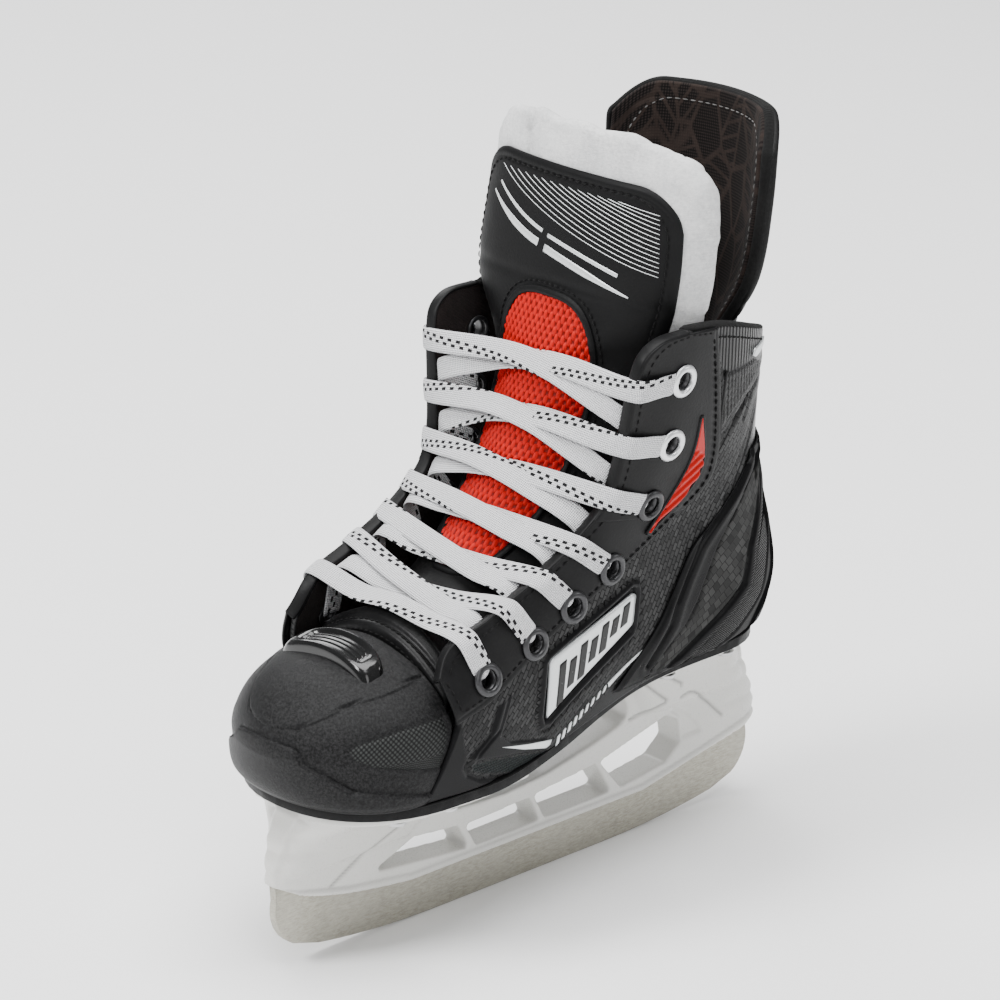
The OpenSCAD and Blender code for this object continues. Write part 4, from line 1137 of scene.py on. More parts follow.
# ---------- toe ----------
CAP_WAIST, CAP_TOP, CAP_ROUND, PLAN_ROUND, CAP_T = 70, 94.2, 2.05, 2.1, 2.2
CAP_FRONT = [[54, -96.8], [60, -99.8], [70, -101.6]]
CAP_WIDTH = [[54, 34.6], [60, 35.9], [70, 36.3]]
CAP_HALF, CAP_BACK, CAP_NOSE = 36.3, -59.4, -101.6
CREASE_TOP = [[0, -98.6, 77.4], [10.4, -97.1, 79], [19.1, -84.2, 85.5], [23.4, -60, 89.2]]
CREASE_LOW = [[0, -100, 74.3], [11.4, -99.3, 74.1], [22.4, -93.8, 66], [26.9, -89.9, 62.8],
              [35.7, -69.3, 58.8]]
TOE_MESH = [[24.6, -90, 75], [25.8, -87.2, 76.6], [31, -75.6, 79.2], [33.4, -61, 80.4],
            [36, -61.2, 73.5], [36.2, -64.8, 65.6], [34.7, -75.3, 67.8], [29.9, -85.6, 70],
            [26.6, -89.4, 72]]


def cap_point(theta, w, off=0.0):
    th = np.radians(theta)
    up = np.clip(w, 0, 1)
    z0 = np.where(w < 0, mix(CAP_WAIST, BALL_Z + SOLE_T + GAP, -w), CAP_WAIST)
    c = np.power(np.cos(np.pi / 2 * up), 2 / CAP_ROUND)
    s = np.power(np.sin(np.pi / 2 * up), 2 / CAP_ROUND)
    z = z0 + (CAP_TOP + off - CAP_WAIST) * s
    back = spline(SEAM, np.minimum(z, 80))
    a = (spline(CAP_WIDTH, z0) + off) * c
    reach = (back - spline(CAP_FRONT, z0) + off) * c
    return np.stack([a * np.sign(np.sin(th)) * np.abs(np.sin(th)) ** (2 / PLAN_ROUND),
                     back - reach * np.abs(np.cos(th)) ** (2 / PLAN_ROUND), z], -1)


def cap_z(x, y):
    """Height of the cap above a place, between its waist and its top."""
    ahead = np.maximum(0, CAP_BACK - y) / (CAP_BACK - CAP_NOSE)
    r = (np.abs(x / CAP_HALF) ** PLAN_ROUND + ahead ** PLAN_ROUND) ** (1 / PLAN_ROUND)
    return CAP_WAIST + (CAP_TOP - CAP_WAIST) * superc(r, CAP_ROUND)


def grid_normal(p):
    n = np.cross(np.gradient(p, axis=1), np.gradient(p, axis=0))
    return unit(n)


def line_gap(p, line):
    """Distance to a 3-D line of points, the same on both sides of the toe."""
    q = p.copy()
    q[..., 0] = np.abs(q[..., 0])
    best = np.full(q.shape[:-1], 1e9)
    for a, b in zip(np.array(line[:-1], float), np.array(line[1:], float)):
        d = b - a
        t = np.clip(((q - a) @ d) / (d @ d), 0, 1)
        best = np.minimum(best, np.linalg.norm(q - a - t[..., None] * d, axis=-1))
    return best


def toe():
    rise = np.concatenate([np.linspace(-1, 0, 50)[:-1], np.linspace(0, 0.998, 156)])
    theta, w = np.meshgrid(np.linspace(-90, 90, 420), rise, indexing="ij")
    p = cap_point(theta, w)
    flat = np.stack([np.abs(theta) * 0.55, w * 38], -1)

    def to_flat(points):
        out = []
        for point in points:
            q = p.reshape(-1, 3)
            k = np.argmin(np.linalg.norm(np.abs(q) - np.abs(point), axis=1) + 100 * (q[:, 0] < -0.5))
            out.append(flat.reshape(-1, 2)[k])
        return np.array(out)

    normal = grid_normal(p)
    normal *= np.sign(normal[200, 100, 2])
    low = to_flat(CREASE_LOW)
    bumper = np.vstack([low, [[55, low[-1][1]], [55, -45], [-5, -45], [-5, low[0][1]]]])
    upper = to_flat(CREASE_TOP)
    crown = np.vstack([upper, [[upper[-1][0], 45], [-5, 45], [-5, upper[0][1]]]])
    panel = inside(flat, to_flat(TOE_MESH))
    d_low, d_top = line_gap(p, CREASE_LOW), line_gap(p, CREASE_TOP)
    in_low = inside(flat, bumper) > 0
    in_top = inside(flat, crown) > 0
    off = np.where(in_low, 0.95 * smooth(d_low / 0.9), -0.3 * np.exp(-d_low / 1.6))
    off += (np.where(in_top, 0.45 * smooth(d_top / 1.0), 0) + groove(d_top, 0.6, 0.6)
            + groove(d_low, 0.4, 0.35))
    off += groove(panel, 0.6, 0.45) - 0.25 * smooth(panel / 0.8)
    off -= 0.5 * (1 - smooth((p[..., 2] - BALL_Z - SOLE_T - GAP) / 2.2))
    mesh_zone = np.clip(panel / 0.5, 0, 1)
    near = p + normal * off[..., None]
    far = cap_point(theta, w, -CAP_T)
    obj = slab("toe_cap_moulding", near, far, TOE, flat, {"mesh": mesh_zone})
    finish_piece(obj, "boot", ["toe_cap"], "toe_plastic")


FRAME_HALF, FRAME_DEEP = 19.2, 5.8


def toe_frame():
    """Raised arched frame on top of the toe; the sunk panel inside it carries long ridges."""
    rings, segs = 60, 220
    r, a = np.meshgrid(np.linspace(1, 0.001, rings), np.linspace(0, 2 * np.pi, segs, endpoint=False),
                       indexing="ij")
    ca, sa = np.cos(a), np.sin(a)
    k = (np.abs(ca) ** 4.5 + np.abs(sa) ** 2.6) ** (-1 / 3.2)
    x = FRAME_HALF * r * ca * k
    y = -71.4 - 0.005 * x * x + FRAME_DEEP * r * sa * k
    shares = [0, 0.5, 0.62, 0.68, 0.75, 0.86, 0.93, 0.97, 1]
    h = np.interp(r, shares, [1.5, 1.5, 1.55, 2.5, 2.9, 2.85, 2.1, 1.0, -0.5])
    arch = 0.9 * (1 - (x / FRAME_HALF) ** 2)
    h = h + np.where(r < 0.6, 0.3 * np.maximum(0, np.sin(2 * np.pi * sa * k * r * FRAME_DEEP / 1.7)), 0)
    x = x - 1.0
    z = cap_z(x, y) + np.maximum(h, -0.5) + np.where(h > 0, arch * np.clip(h, 0, 1), 0)
    pts = np.stack([x, y, z], -1).reshape(-1, 3)
    faces = quads(rings, segs, wrap=True)
    if np.cross(pts[1] - pts[0], pts[3 * segs] - pts[0])[2] < 0:
        faces = faces[:, ::-1]
    heap = Heap()
    heap.add(pts, faces)
    finish_piece(heap.make("toe_frame", BADGE), "boot", ["toe_badge"], "badge_gloss")


VAMP_HALF, VAMP_LONG, VAMP_DROP = 29.5, 18, 13
VAMP_ARC = [[0, [-58.6, 90.6]], [0.3, [-57, 96.5]], [0.6, [-51.5, 99.3]], [1, [-46.5, 99.6]]]


def vamp():
    """Padded leather strip between the toe cap and the tongue, gathered by two seams."""
    i, q = grid(70, 180, b=(-1, 1))
    p = spline(VAMP_ARC, i)
    folds = (0.9 * bell(i - 0.62, 0.13) + 0.5 * bell(i - 0.3, 0.09)
             - 0.75 * bell(i - 0.43, 0.035) - 0.6 * bell(i - 0.15, 0.03))
    wrinkle = 0.3 * np.sin(9 * q + 5 * i) * bell(i - 0.7, 0.2) * (0.4 + q * q)
    lift = folds + wrinkle
    near = np.stack([VAMP_HALF * q, p[..., 0] - 0.35 * lift, p[..., 1] - VAMP_DROP * q * q + lift], -1)
    far = np.stack([VAMP_HALF * q, p[..., 0] + 1.4, p[..., 1] - VAMP_DROP * q * q - 4], -1)
    obj = slab("toe_vamp_pad", near, far, LEATHER, np.stack([VAMP_HALF * q, i * VAMP_LONG], -1))
    finish_piece(obj, "boot", ["toe_vamp"], "black_leather")
    threads = Heap()

    def place(c, off):
        pp = spline(VAMP_ARC, np.clip(c[:, 0] / VAMP_LONG, 0, 1))
        s = c[:, 1] / VAMP_HALF
        return np.stack([VAMP_HALF * s, pp[:, 0] - 0.35 * off, pp[:, 1] - VAMP_DROP * s * s + off], 1)

    for row, off in ((0.1, 0.15), (0.2, 0.25), (0.38, 0.3)):
        line = [[row * VAMP_LONG, s * VAMP_HALF] for s in np.linspace(-0.94, 0.94, 15)]
        seam(threads, place, line, off, 2.3, 1.6, 0.28)
    finish_piece(threads.make("toe_vamp_stitches", THREAD), "boot", [], "black_leather")


# ---------- tongue ----------
TONGUE = [[0, [-44.5, 100.6]], [0.12, [-28, 109.3]], [0.25, [-13, 125.5]], [0.37, [-3, 142]],
          [0.5, [5, 160]], [0.64, [11, 180]], [0.7, [13, 188]], [0.85, [17, 212]], [1, [20, 235]]]
TONGUE_HALF = [[0, 28.6], [0.12, 28.8], [0.25, 30.6], [0.37, 32.6], [0.5, 36], [0.58, 39.2],
               [0.64, 42], [0.7, 45.3], [0.78, 47.6], [0.9, 47], [0.95, 45.6], [1, 41.5]]
TONGUE_CURL = [[0, 13], [0.12, 17], [0.25, 20], [0.37, 23], [0.5, 24], [0.64, 23], [0.7, 22.5],
               [0.85, 20], [1, 14]]
CURL_TURN = [[0, 1], [0.5, 0.9], [0.66, 0.5], [0.8, 0.35], [1, 0.6]]
FELT_T, FACING_T = 6.5, 1.0
FACING_TOP = 0.908
PLAN = (158, 45)  # millimetres per unit of [u, q], for even spacing on the tongue
MESH_MID, MESH_HALF = 146, 38
WINDOW, WINDOW_FLARE = 18.6, 3.1


def fold_share(u, q):
    """Share of the depth that is left on the inner side, pressed flatter at the fold."""
    return np.where(q < 0, 1 - 0.4 * bell(u - 0.66, 0.1), 1)


def tongue_at(u, q, depth):
    u, q, depth = np.broadcast_arrays(*[np.asarray(v, float) for v in (u, q, depth)])
    p = spline(TONGUE, u)
    d = unit(spline(TONGUE, np.minimum(1, u + 0.01)) - spline(TONGUE, np.maximum(0, u - 0.01)))
    k = spline(TONGUE_CURL, u) * mix(np.abs(q) ** 7, q * q, spline(CURL_TURN, u)) + depth
    k = k * fold_share(u, q)
    r = np.where(u > 0.9, 6.5 * (u - 0.9) / 0.1 * (np.maximum(0, np.abs(q) - 0.45) / 0.55) ** 2, 0)
    return np.stack([spline(TONGUE_HALF, u) * q - depth * q * 0.55,
                     p[..., 0] + d[..., 1] * k - d[..., 0] * r,
                     p[..., 1] - d[..., 0] * k - d[..., 1] * r], -1)


def window_half(z, grow=0.0):
    up = (z - MESH_MID) / (MESH_HALF + grow)
    return np.where(np.abs(up) < 1, (WINDOW + WINDOW_FLARE * up + grow) * superc(up, 3), -1)


def tongue_u(z):
    """Rough share of the tongue's length at a height."""
    return np.interp(z, [b[1] for _, b in TONGUE], [a for a, _ in TONGUE])


def window_rim(t, grow):
    """Places [u, q] on the rim of the window at an angle t, some millimetres outside it."""
    x = (WINDOW + WINDOW_FLARE * np.sin(t) + grow) * superc(np.sin(t), 3) * np.sign(np.cos(t))
    u = tongue_u(MESH_MID + (MESH_HALF + grow) * np.sin(t))
    return u, x / spline(TONGUE_HALF, u)


def facing_share(u, q):
    """Share of the half width that the leather covers; it reaches round the inner edge at the fold."""
    inner = np.interp(u, [0, 0.5, 0.6, 0.68, 0.78, 1], [0.88, 0.9, 0.99, 0.99, 0.87, 0.84])
    return np.where(np.asarray(q) < 0, inner, np.interp(u, [0, 0.6, 0.8, 1], [0.88, 0.88, 0.86, 0.84]))


BEND = ("boot", "tongue_top", (0, 0.011, 0.180), (0, 0.015, 0.198))


def puff(obj, held, cap, size):
    """Lets a closed piece swell like stuffed cloth, partly held; no point moves further than cap."""
    modify(obj, "REMESH", mode="VOXEL", voxel_size=size * MM)
    apply_all(obj)
    before = points_of(obj)
    group = obj.vertex_groups.new(name="held")
    group.add([int(i) for i in np.nonzero(held(before))[0]], 1.0, "REPLACE")
    mod = obj.modifiers.new("cloth", "CLOTH")
    kit = mod.settings
    kit.quality = 5
    kit.mass = 0.3
    kit.tension_stiffness = kit.compression_stiffness = 8
    kit.bending_stiffness = 3
    kit.use_pressure = True
    kit.uniform_pressure_force = 4
    kit.effector_weights.gravity = 0
    kit.vertex_group_mass = "held"
    mod.point_cache.frame_start, mod.point_cache.frame_end = 1, 20
    scene = bpy.context.scene
    scene.frame_start, scene.frame_end = 1, 20
    for f in range(1, 21):
        scene.frame_set(f)
    apply_all(obj)
    after = points_of(obj)
    scene.frame_set(1)
    move = after - before
    far = np.linalg.norm(move, axis=1, keepdims=True)
    set_points(obj, before + move * np.minimum(1, cap / np.maximum(far, 1e-6)))


def hug(obj, guide, share, push, noise):
    """Brings the points near the rim back onto the smooth outline of the guide, a little outside it."""
    tree = BVHTree.FromPolygons([v.co for v in guide.data.vertices],
                                [p.vertices for p in guide.data.polygons])
    p, n = points_of(obj), vectors_of(obj, "normal")
    probe, w, goal = p + n * push, share(p), p.copy()
    for i in np.nonzero(w > 0)[0]:
        hit, turn, _, _ = tree.find_nearest(Vector(probe[i] * MM))
        goal[i] = np.array(hit) / MM + np.array(turn) * noise(p[i])
    set_points(obj, mix(p, goal, w[:, None]))


def soften(obj, levels=1, rounds=3):
    modify(obj, "SMOOTH", iterations=rounds, factor=0.5)
    modify(obj, "SUBSURF", levels=levels, render_levels=levels)
    apply_all(obj)
    shade_smooth(obj.data)


def tongue_pad():
    u, q = grid(110, 60, (0, 0.985), (-0.955, 0.955))
    thin = 0.9 * np.clip((np.abs(q) - 0.82) / 0.14, 0, 1) ** 2
    crown = smooth((u - 0.92) / 0.06) * 0.7
    near = tongue_at(u, q, FACING_T + GAP + thin + crown)
    far = tongue_at(u, q, (FELT_T + 0.3 * u - thin - crown) / fold_share(u, q))
    obj = slab("tongue_felt_pad", near, far, FELT, round_segs=6, bulge=0.9)
    guide = slab("tongue_felt_guide", near, far, FELT, round_segs=6, bulge=0.9)
    def held(p):
        x, y, z = p.T
        front = y < np.interp(z, [100, 142, 188, 235], [-38, 1.5, 18, 25]) + 0.016 * x ** 2 * 0.6
        middle = np.abs(x) < np.interp(z, [100, 188, 220], [26, 36, 30])
        return (front & middle & (z < 219)) | (z < 170)

    puff(obj, held, 1.6, 4.2)
    only_material(obj.data, FELT)
    soften(obj, 2, 4)
    half = [float(v) for v in spline(TONGUE_HALF, np.linspace(0, 1, 41))]
    high = [float(v) for v in spline(TONGUE, np.linspace(0, 1, 41))[:, 1]]

    def rim(p):
        reach = np.minimum(np.interp(p[:, 2], high, half) - np.abs(p[:, 0]), 236 - p[:, 2])
        return 1 - smooth((reach - 11) / 9)

    def uneven(p):
        return 0.2 + 0.15 * math.sin(p[0] * 0.8 + p[2] * 0.5) * math.sin(p[2] * 0.6)

    for push in (2.6, 1.2):
        hug(obj, guide, rim, push, uneven)
        soften(obj, 0, 5)
    bpy.data.objects.remove(guide)
    p = points_of(obj)
    crease = bell(p[:, 0] + 20 + 0.1 * (p[:, 2] - 235), 1.1) * smooth((p[:, 2] - 216) / 6)
    p[:, 2] -= 0.9 * crease
    middle = np.interp(p[:, 2], [188, 212, 235], [16.5, 20.5, 23.5])
    p[:, 1] += 0.9 * crease * np.where(p[:, 1] < middle, 1, -1)
    p[:, 2] += 0.5 * np.sin(p[:, 0] * 0.35 + 1) * smooth((p[:, 2] - 224) / 8)
    set_points(obj, p)
    finish_piece(obj, BEND, ["tongue_felt", "tongue_top_felt"], "white_felt")


def facing():
    """Leather on the front of the tongue, with a window for the mesh."""
    a, q = grid(330, 150, b=(-1, 1))
    corner = 0.08 * (1 - np.sqrt(1 - (np.maximum(0, np.abs(q) - 0.68) / 0.32) ** 2 * 0.995))
    u = a * (FACING_TOP - corner)
    side = facing_share(u, q)
    q2 = q * side
    x = tongue_at(u, q2, 0.0)[..., 0]
    edge = np.minimum((1 - np.abs(q)) * side * spline(TONGUE_HALF, u),
                      (FACING_TOP - corner - u) * PLAN[0])
    lift = -0.55 * bell(edge, 0.7) + groove(edge - 3.0, 0.6, 0.22)
    fold = bell(u - 0.69, 0.012)
    near = tongue_at(u, q2, -lift + 0.35 * fold)
    far = tongue_at(u, q2, FACING_T + 0.25)
    uv = np.stack([x, u * 160], -1)
    v, f, uvs, _, _ = slab_data(near, far, uv)
    mid = v[f].mean(1)
    f = f[~(np.abs(mid[:, 0]) < window_half(mid[:, 2]))]
    finish_piece(mesh_obj("tongue_facing_leather", v, f, PATCH, uvs), BEND,
                 ["tongue_facing", "tongue_top_facing"], "black_leather")
    threads = Heap()

    def place(c, off):
        return tongue_at(c[:, 0] / PLAN[0], c[:, 1] / PLAN[1], -off)

    def seam_on(line, *rest):
        seam(threads, place, np.array(line) * PLAN, *rest)

    left, right = [[[t, s * (float(facing_share(t, s)) - 3 / float(spline(TONGUE_HALF, t)))]
                    for t in np.linspace(0.45, 0.815, 26)] for s in (-1, 1)]

    def top_round(s):
        return 0.07 * (1 - math.sqrt(1 - (max(0, abs(s) - 0.64) / 0.3) ** 2 * 0.98))

    over = [[FACING_TOP - 0.02 - top_round(s), s * 0.84] for s in np.linspace(-0.93, 0.93, 31)]
    seam_on(left + over + right[::-1], 0.05, 2.7, 2.0, 0.3)
    t = np.linspace(-0.5, math.pi + 0.5, 60)
    seam_on(np.stack(window_rim(t, 2.4), 1), 0.3, 2.3, 1.7, 0.3)
    finish_piece(threads.make("tongue_stitches", THREAD), BEND, [], "black_leather")
    piping = Heap()
    t = np.linspace(0, 2 * math.pi, 181)[:-1]
    path = tongue_at(*window_rim(t, 0), -0.15)
    path = np.vstack([path, path[:2]])
    keep = [0] + [i for i in range(1, len(path)) if np.linalg.norm(path[i] - path[i - 1]) > 0.05]
    path = smooth_path(path[keep], 1.0)
    piping.add(*sweep(path, [0, -0.85, 0.4], ring_profile(1.25, 0.75, 10)))
    finish_piece(piping.make("mesh_piping", PATCH), BEND, [], "black_leather")
    lines = Heap()

    def curve(a, c, b, half):
        t = np.linspace(0, 1, 9)[:, None]
        line = (1 - t) ** 2 * np.array(a) + 2 * t * (1 - t) * np.array(c) + t * t * np.array(b)
        band(lines, place, line * PLAN, half, 0.12, 0.12)

    for i in range(14):
        s = i / 13
        a, b = [mix(0.872, 0.876, s), mix(0.46, -0.6, s)], [mix(0.862, 0.752, s), mix(0.74, 0.77, s)]
        c = [mix(a[0], b[0], mix(0.5, 0.62, s)), mix(a[1], b[1], mix(0.5, 0.3, s))]
        curve(a, c, b, 0.1)
    for a, c, b, half in (([0.842, -0.6], [0.797, -0.38], [0.78, -0.13], [0.4, 0.6, 0.6]),
                          ([0.775, -0.08], [0.759, 0.2], [0.739, 0.52], [0.6, 0.6, 0.6]),
                          ([0.822, -0.66], [0.772, -0.42], [0.757, -0.16], [0.3, 1.2, 1.2]),
                          ([0.751, -0.1], [0.733, 0.2], [0.703, 0.62], [1.2, 1.1, 0.25])):
        curve(a, c, b, half)
    finish_piece(lines.make("tongue_print", PRINT), BEND, [], "badge_silver")


def mesh_insert():
    """Knitted mesh behind the window: staggered raised cells with pits between them, which the material
    paints dark by depth as shade.
    """
    zs = np.arange(MESH_MID - MESH_HALF - 0.4, MESH_MID + MESH_HALF + 0.4, 0.33)
    xs = np.arange(-19.8, 19.81, 0.3)
    z, x = np.meshgrid(zs, xs, indexing="ij")
    u = tongue_u(z)
    for _ in range(3):
        got = tongue_at(u, x / spline(TONGUE_HALF, u), 0.4)
        slope = (tongue_at(u + 0.002, x / spline(TONGUE_HALF, u), 0.4)[..., 2] - got[..., 2]) / 0.002
        u = np.clip(u + (z - got[..., 2]) / slope, 0, 1)
    col = np.floor(x / 1.15)
    cx = (x / 1.15 - col - 0.5) * 1.15
    cz = ((z / 3.9 + 0.5 * (col % 2)) % 1 - 0.5) * 3.9
    r = np.sqrt((cx / 0.62) ** 2 + (cz / 1.35) ** 2)
    high = np.sqrt(np.clip(1 - r * r * 0.8, 0, 1))
    swell = 0.8 * superc(np.clip(x / 20, -1, 1), 3) * superc(np.clip((z - MESH_MID) / 39, -1, 1), 4)
    pts = tongue_at(u, x / spline(TONGUE_HALF, u), 0.75 - 0.85 * high - swell * 0.9)
    faces = quads(*z.shape)
    mid = pts.reshape(-1, 3)[faces].mean(1)
    keep = np.abs(mid[:, 0]) < window_half(mid[:, 2], 0.6)
    faces = faces[keep]
    p = pts.reshape(-1, 3)
    if np.cross(p[faces[0][1]] - p[faces[0][0]], p[faces[0][3]] - p[faces[0][0]])[1] > 0:
        faces = faces[:, ::-1]
    obj = mesh_obj("mesh_cells", p, faces, RED_MESH, np.stack([x, z], -1).reshape(-1, 2),
                   attrs={"high": high})
    finish_piece(obj, "boot", ["tongue_mesh"], "red_mesh")


# ---------- lacing ----------
OVER = [0.9, 0.79, 0.69, 0.6, 0.46, 0.32, 0.2]
CROSS = [0.03, 0.13, 0.22, 0.31, 0.42, 0.53]
LACE_W, LACE_T = 7.0, 0.95
TRACERS = [1.2, -1.5, 0.4, 1.7, -0.8, 0.9]  # side of each run that carries the dashes


def edge_way(t):
    """Direction of the outer throat edge at a share of its length, from the toe upwards."""
    a, b = [side_at(spline(THROAT, v), 0) for v in (min(1, t + 0.03), max(0, t - 0.03))]
    return unit(b - a)


def stop(p, off, side, wide):
    return side_at(np.array(p, float), off, side), wide * [side, 1, 1]


def strand(k, side):
    """Places along one crossing and the way the lace is wide at each."""
    a, b = np.array(EYELETS[k], float), np.array(EYELETS[k + 1], float)
    ea, eb = spline(THROAT, OVER[k] - 0.05), spline(THROAT, OVER[k + 1])
    lift = 1.4 if side > 0 else 2.7
    out = OVER_T + GAP + (0.75 if k < 3 else 1.15)
    inner = -SHELL_T - 1.4
    wide_a, wide_b = edge_way(OVER[k] - 0.05), edge_way(OVER[k + 1])
    start, end = stop(ea, inner, -side, wide_a), stop(eb, out, side, wide_b)
    front = unit(np.array([0.0, 0.6, 0.8]) + [0, 0.5 * (0.6 - CROSS[k]), -0.5 * (0.6 - CROSS[k])])
    mid = tongue_at(CROSS[k], 0, -lift)
    ways = []
    for x in (-13, 13):
        share = (x * side - start[0][0]) / (end[0][0] - start[0][0])
        chord = mix(start[0], end[0], share)
        share_mid = -start[0][0] / (end[0][0] - start[0][0])
        bow = mid - mix(start[0], end[0], share_mid)
        ways.append((chord + bow * 0.86, front))
    return [stop(mix(a, ea, 0.05), inner, -side, wide_a), start, ways[0], (mid, front), ways[1], end,
            stop(mix(b, eb, 0.4), out, side, wide_b), stop(mix(b, eb, 0.12), out - 0.5, side, wide_b),
            stop(b, -1.6, side, wide_b)]


def bottom_bar():
    a, e = np.array(EYELETS[0], float), spline(THROAT, OVER[0])
    out, wide = OVER_T + GAP + 0.75, edge_way(OVER[0])
    ends = [[stop(e, out, s, wide), stop(mix(a, e, 0.4), out, s, wide),
             stop(mix(a, e, 0.12), out - 0.5, s, wide), stop(a, -1.6, s, wide)] for s in (-1, 1)]
    mid = [(np.array([x, -50.5, z]), unit([0, 0.9, 0.4]))
           for x, z in ((-15, 101.8), (0, 103), (15, 101.8))]
    return ends[0][::-1] + mid + ends[1]


def relax(rows, rounds):
    for _ in range(rounds):
        rows[1:-1] = 0.25 * rows[:-2] + 0.5 * rows[1:-1] + 0.25 * rows[2:]


def ribbon(heap, stops, side, shift, folds):
    pos = np.array([s[0] for s in stops])
    wide = unit(np.array([s[1] for s in stops]))
    far = run_along(pos)
    n = int(far[-1] / 0.55)
    at = np.linspace(0, far[-1], n)
    path = spline(list(zip(far, pos.tolist())), at)
    relax(path, 6)
    w = np.stack([np.interp(at, far, wide[:, i]) for i in range(3)], 1)
    relax(w, 60)
    up = np.cross(unit(np.gradient(path, axis=0)), w) * side
    to_end = [dist if fold else np.full(n, 99.0) for dist, fold in zip((at, far[-1] - at), folds)]
    near_end = np.minimum(*to_end)
    curl = np.clip(1 - (near_end - 1.0) / 6.5, 0, 1) ** 1.5
    m = 15
    s = np.linspace(-1, 1, m)
    half = LACE_W / 2
    bend = np.maximum(curl * math.radians(120), 1e-3)[:, None]
    across = half * np.sin(bend * s) / bend
    sink = half * (1 - np.cos(bend * s)) / bend
    edge = LACE_T / 2 * superc(s, 2.4)
    top_pts = np.stack([across, -sink + edge], -1)
    low_pts = np.stack([across[:, ::-1], -sink[:, ::-1] - edge[::-1]], -1)
    prof = np.concatenate([top_pts, low_pts[:, 1:-1]], 1)
    v, f = sweep(path, up, prof[:, ::-1])
    v_top = np.repeat(half * s[None], n, 0)
    v_low = np.repeat(half * (2 - s[None, ::-1]), n, 0)[:, 1:-1]
    v_all = np.concatenate([v_top, v_low], 1)[:, ::-1]
    uv = np.stack([np.repeat(at[:, None], v_all.shape[1], 1), v_all], -1)
    heap.add(v, f, uv, v_all + (4 * shift + 0.12 * at * np.sign(shift))[:, None])


def laces():
    heap = Heap()
    ribbon(heap, bottom_bar(), 1, 1.3, (True, True))
    for k in range(6):
        for side in (1, -1):
            ribbon(heap, strand(k, side), side, TRACERS[(2 * k + (side > 0)) % 6], (False, True))
    finish_piece(heap.make("laces", LACE, mark="tracer"), "boot", ["lace"], "white_lace")


# ---------- tendon guard ----------
GUARD_LINE = [[150, 81.8], [158, 82], [167, 82.6], [200, 85.6], [231, 88.5]]
GUARD_HALF = [[157, 16.5], [167, 23], [183, 32], [205, 35], [231, 35]]
GUARD_LOW, GUARD_TOP, GUARD_T, GUARD_WIDE = 156.6, 231, 2.4, 35
GUARD_BEND = ("boot", "guard", (0, 0.082, 0.158), (0, 0.083, 0.176))


def guard_at(z, q, off):
    z, q, off = np.broadcast_arrays(np.asarray(z, float), np.asarray(q, float), np.asarray(off, float))
    corner = 10 * (np.maximum(0, np.abs(q) - 0.62) / 0.38) ** 2.4 * smooth((z - 200) / 31)
    zz = z - corner
    curl = 16.4 * (1 - np.sqrt(1 - (q * 0.86) ** 2)) / 0.49
    return np.stack([(spline(GUARD_HALF, zz) + off) * q, spline(GUARD_LINE, zz) + off - curl, zz], -1)


def guard():
    rows, cols = 150, 130
    z, q = grid(rows, cols, (GUARD_LOW, GUARD_TOP), (-1, 1))
    rib = groove(np.abs(z - 168), 1.2, 0.5) + groove(np.abs(z - 174), 1.0, 0.3)
    panel = 0.5 * smooth((0.72 - np.abs(q)) / 0.08) * smooth((z - 180) / 5) * smooth((222 - z) / 5)
    obj = slab("guard_moulding", guard_at(z, q, rib + panel * 0.8), guard_at(z, q, -GUARD_T), GUARD,
               np.stack([q * 33, z], -1))
    finish_piece(obj, GUARD_BEND, ["tendon_guard", "guard_base"], "guard_plastic")
    z, q = grid(rows, cols, (158.5, GUARD_TOP - 0.2), (-0.985, 0.985))
    edge = np.minimum((1 - np.abs(q)) * 34, np.minimum(GUARD_TOP - z, 60))
    puffed = 0.5 * smooth(edge / 6) - 0.2 * bell(edge - 4.2, 0.8)
    obj = slab("guard_cloth", guard_at(z, q, -GUARD_T - 0.5 - 1.4 - puffed),
               guard_at(z, q, -GUARD_T - 0.2), GUARD_CLOTH, np.stack([q * 38, z], -1))
    finish_piece(obj, GUARD_BEND, ["guard_lining"], "guard_textile")
    heap, threads = Heap(), Heap()
    up_left = [(zz, -1.0) for zz in np.linspace(160, 224, 40)]
    across = [(GUARD_TOP, s) for s in np.linspace(-1, 1, 60)]
    down = [(zz, 1.0) for zz in np.linspace(224, 160, 40)]
    line = np.array(up_left + across + down)
    path = smooth_path(guard_at(line[:, 0], line[:, 1], -GUARD_T / 2 - 0.9), 0.8)
    centre = guard_at(200, 0, 0)
    up = unit(path - (centre + [0, 8, 0]))
    heap.add(*sweep(path, up, ring_profile(1.75, 1.0, 16)))
    finish_piece(heap.make("guard_binding", BINDING), GUARD_BEND, [], "binding_fabric")

    def place(c, off):
        return guard_at(c[:, 0], c[:, 1] / GUARD_WIDE, -GUARD_T - 2.0 - off)

    row = [[zz, -0.88 * GUARD_WIDE] for zz in np.linspace(168, 219, 14)]
    row += [[226.5 - 4 * max(0, abs(s) - 0.6) / 0.28, s * GUARD_WIDE] for s in np.linspace(-0.8, 0.8, 18)]
    row += [[zz, 0.88 * GUARD_WIDE] for zz in np.linspace(219, 168, 14)]
    seam(threads, place, row, 0.3, 2.6, 1.7, 0.24)
    finish_piece(threads.make("guard_stitches", GREY_THREAD), GUARD_BEND, [], "binding_fabric")


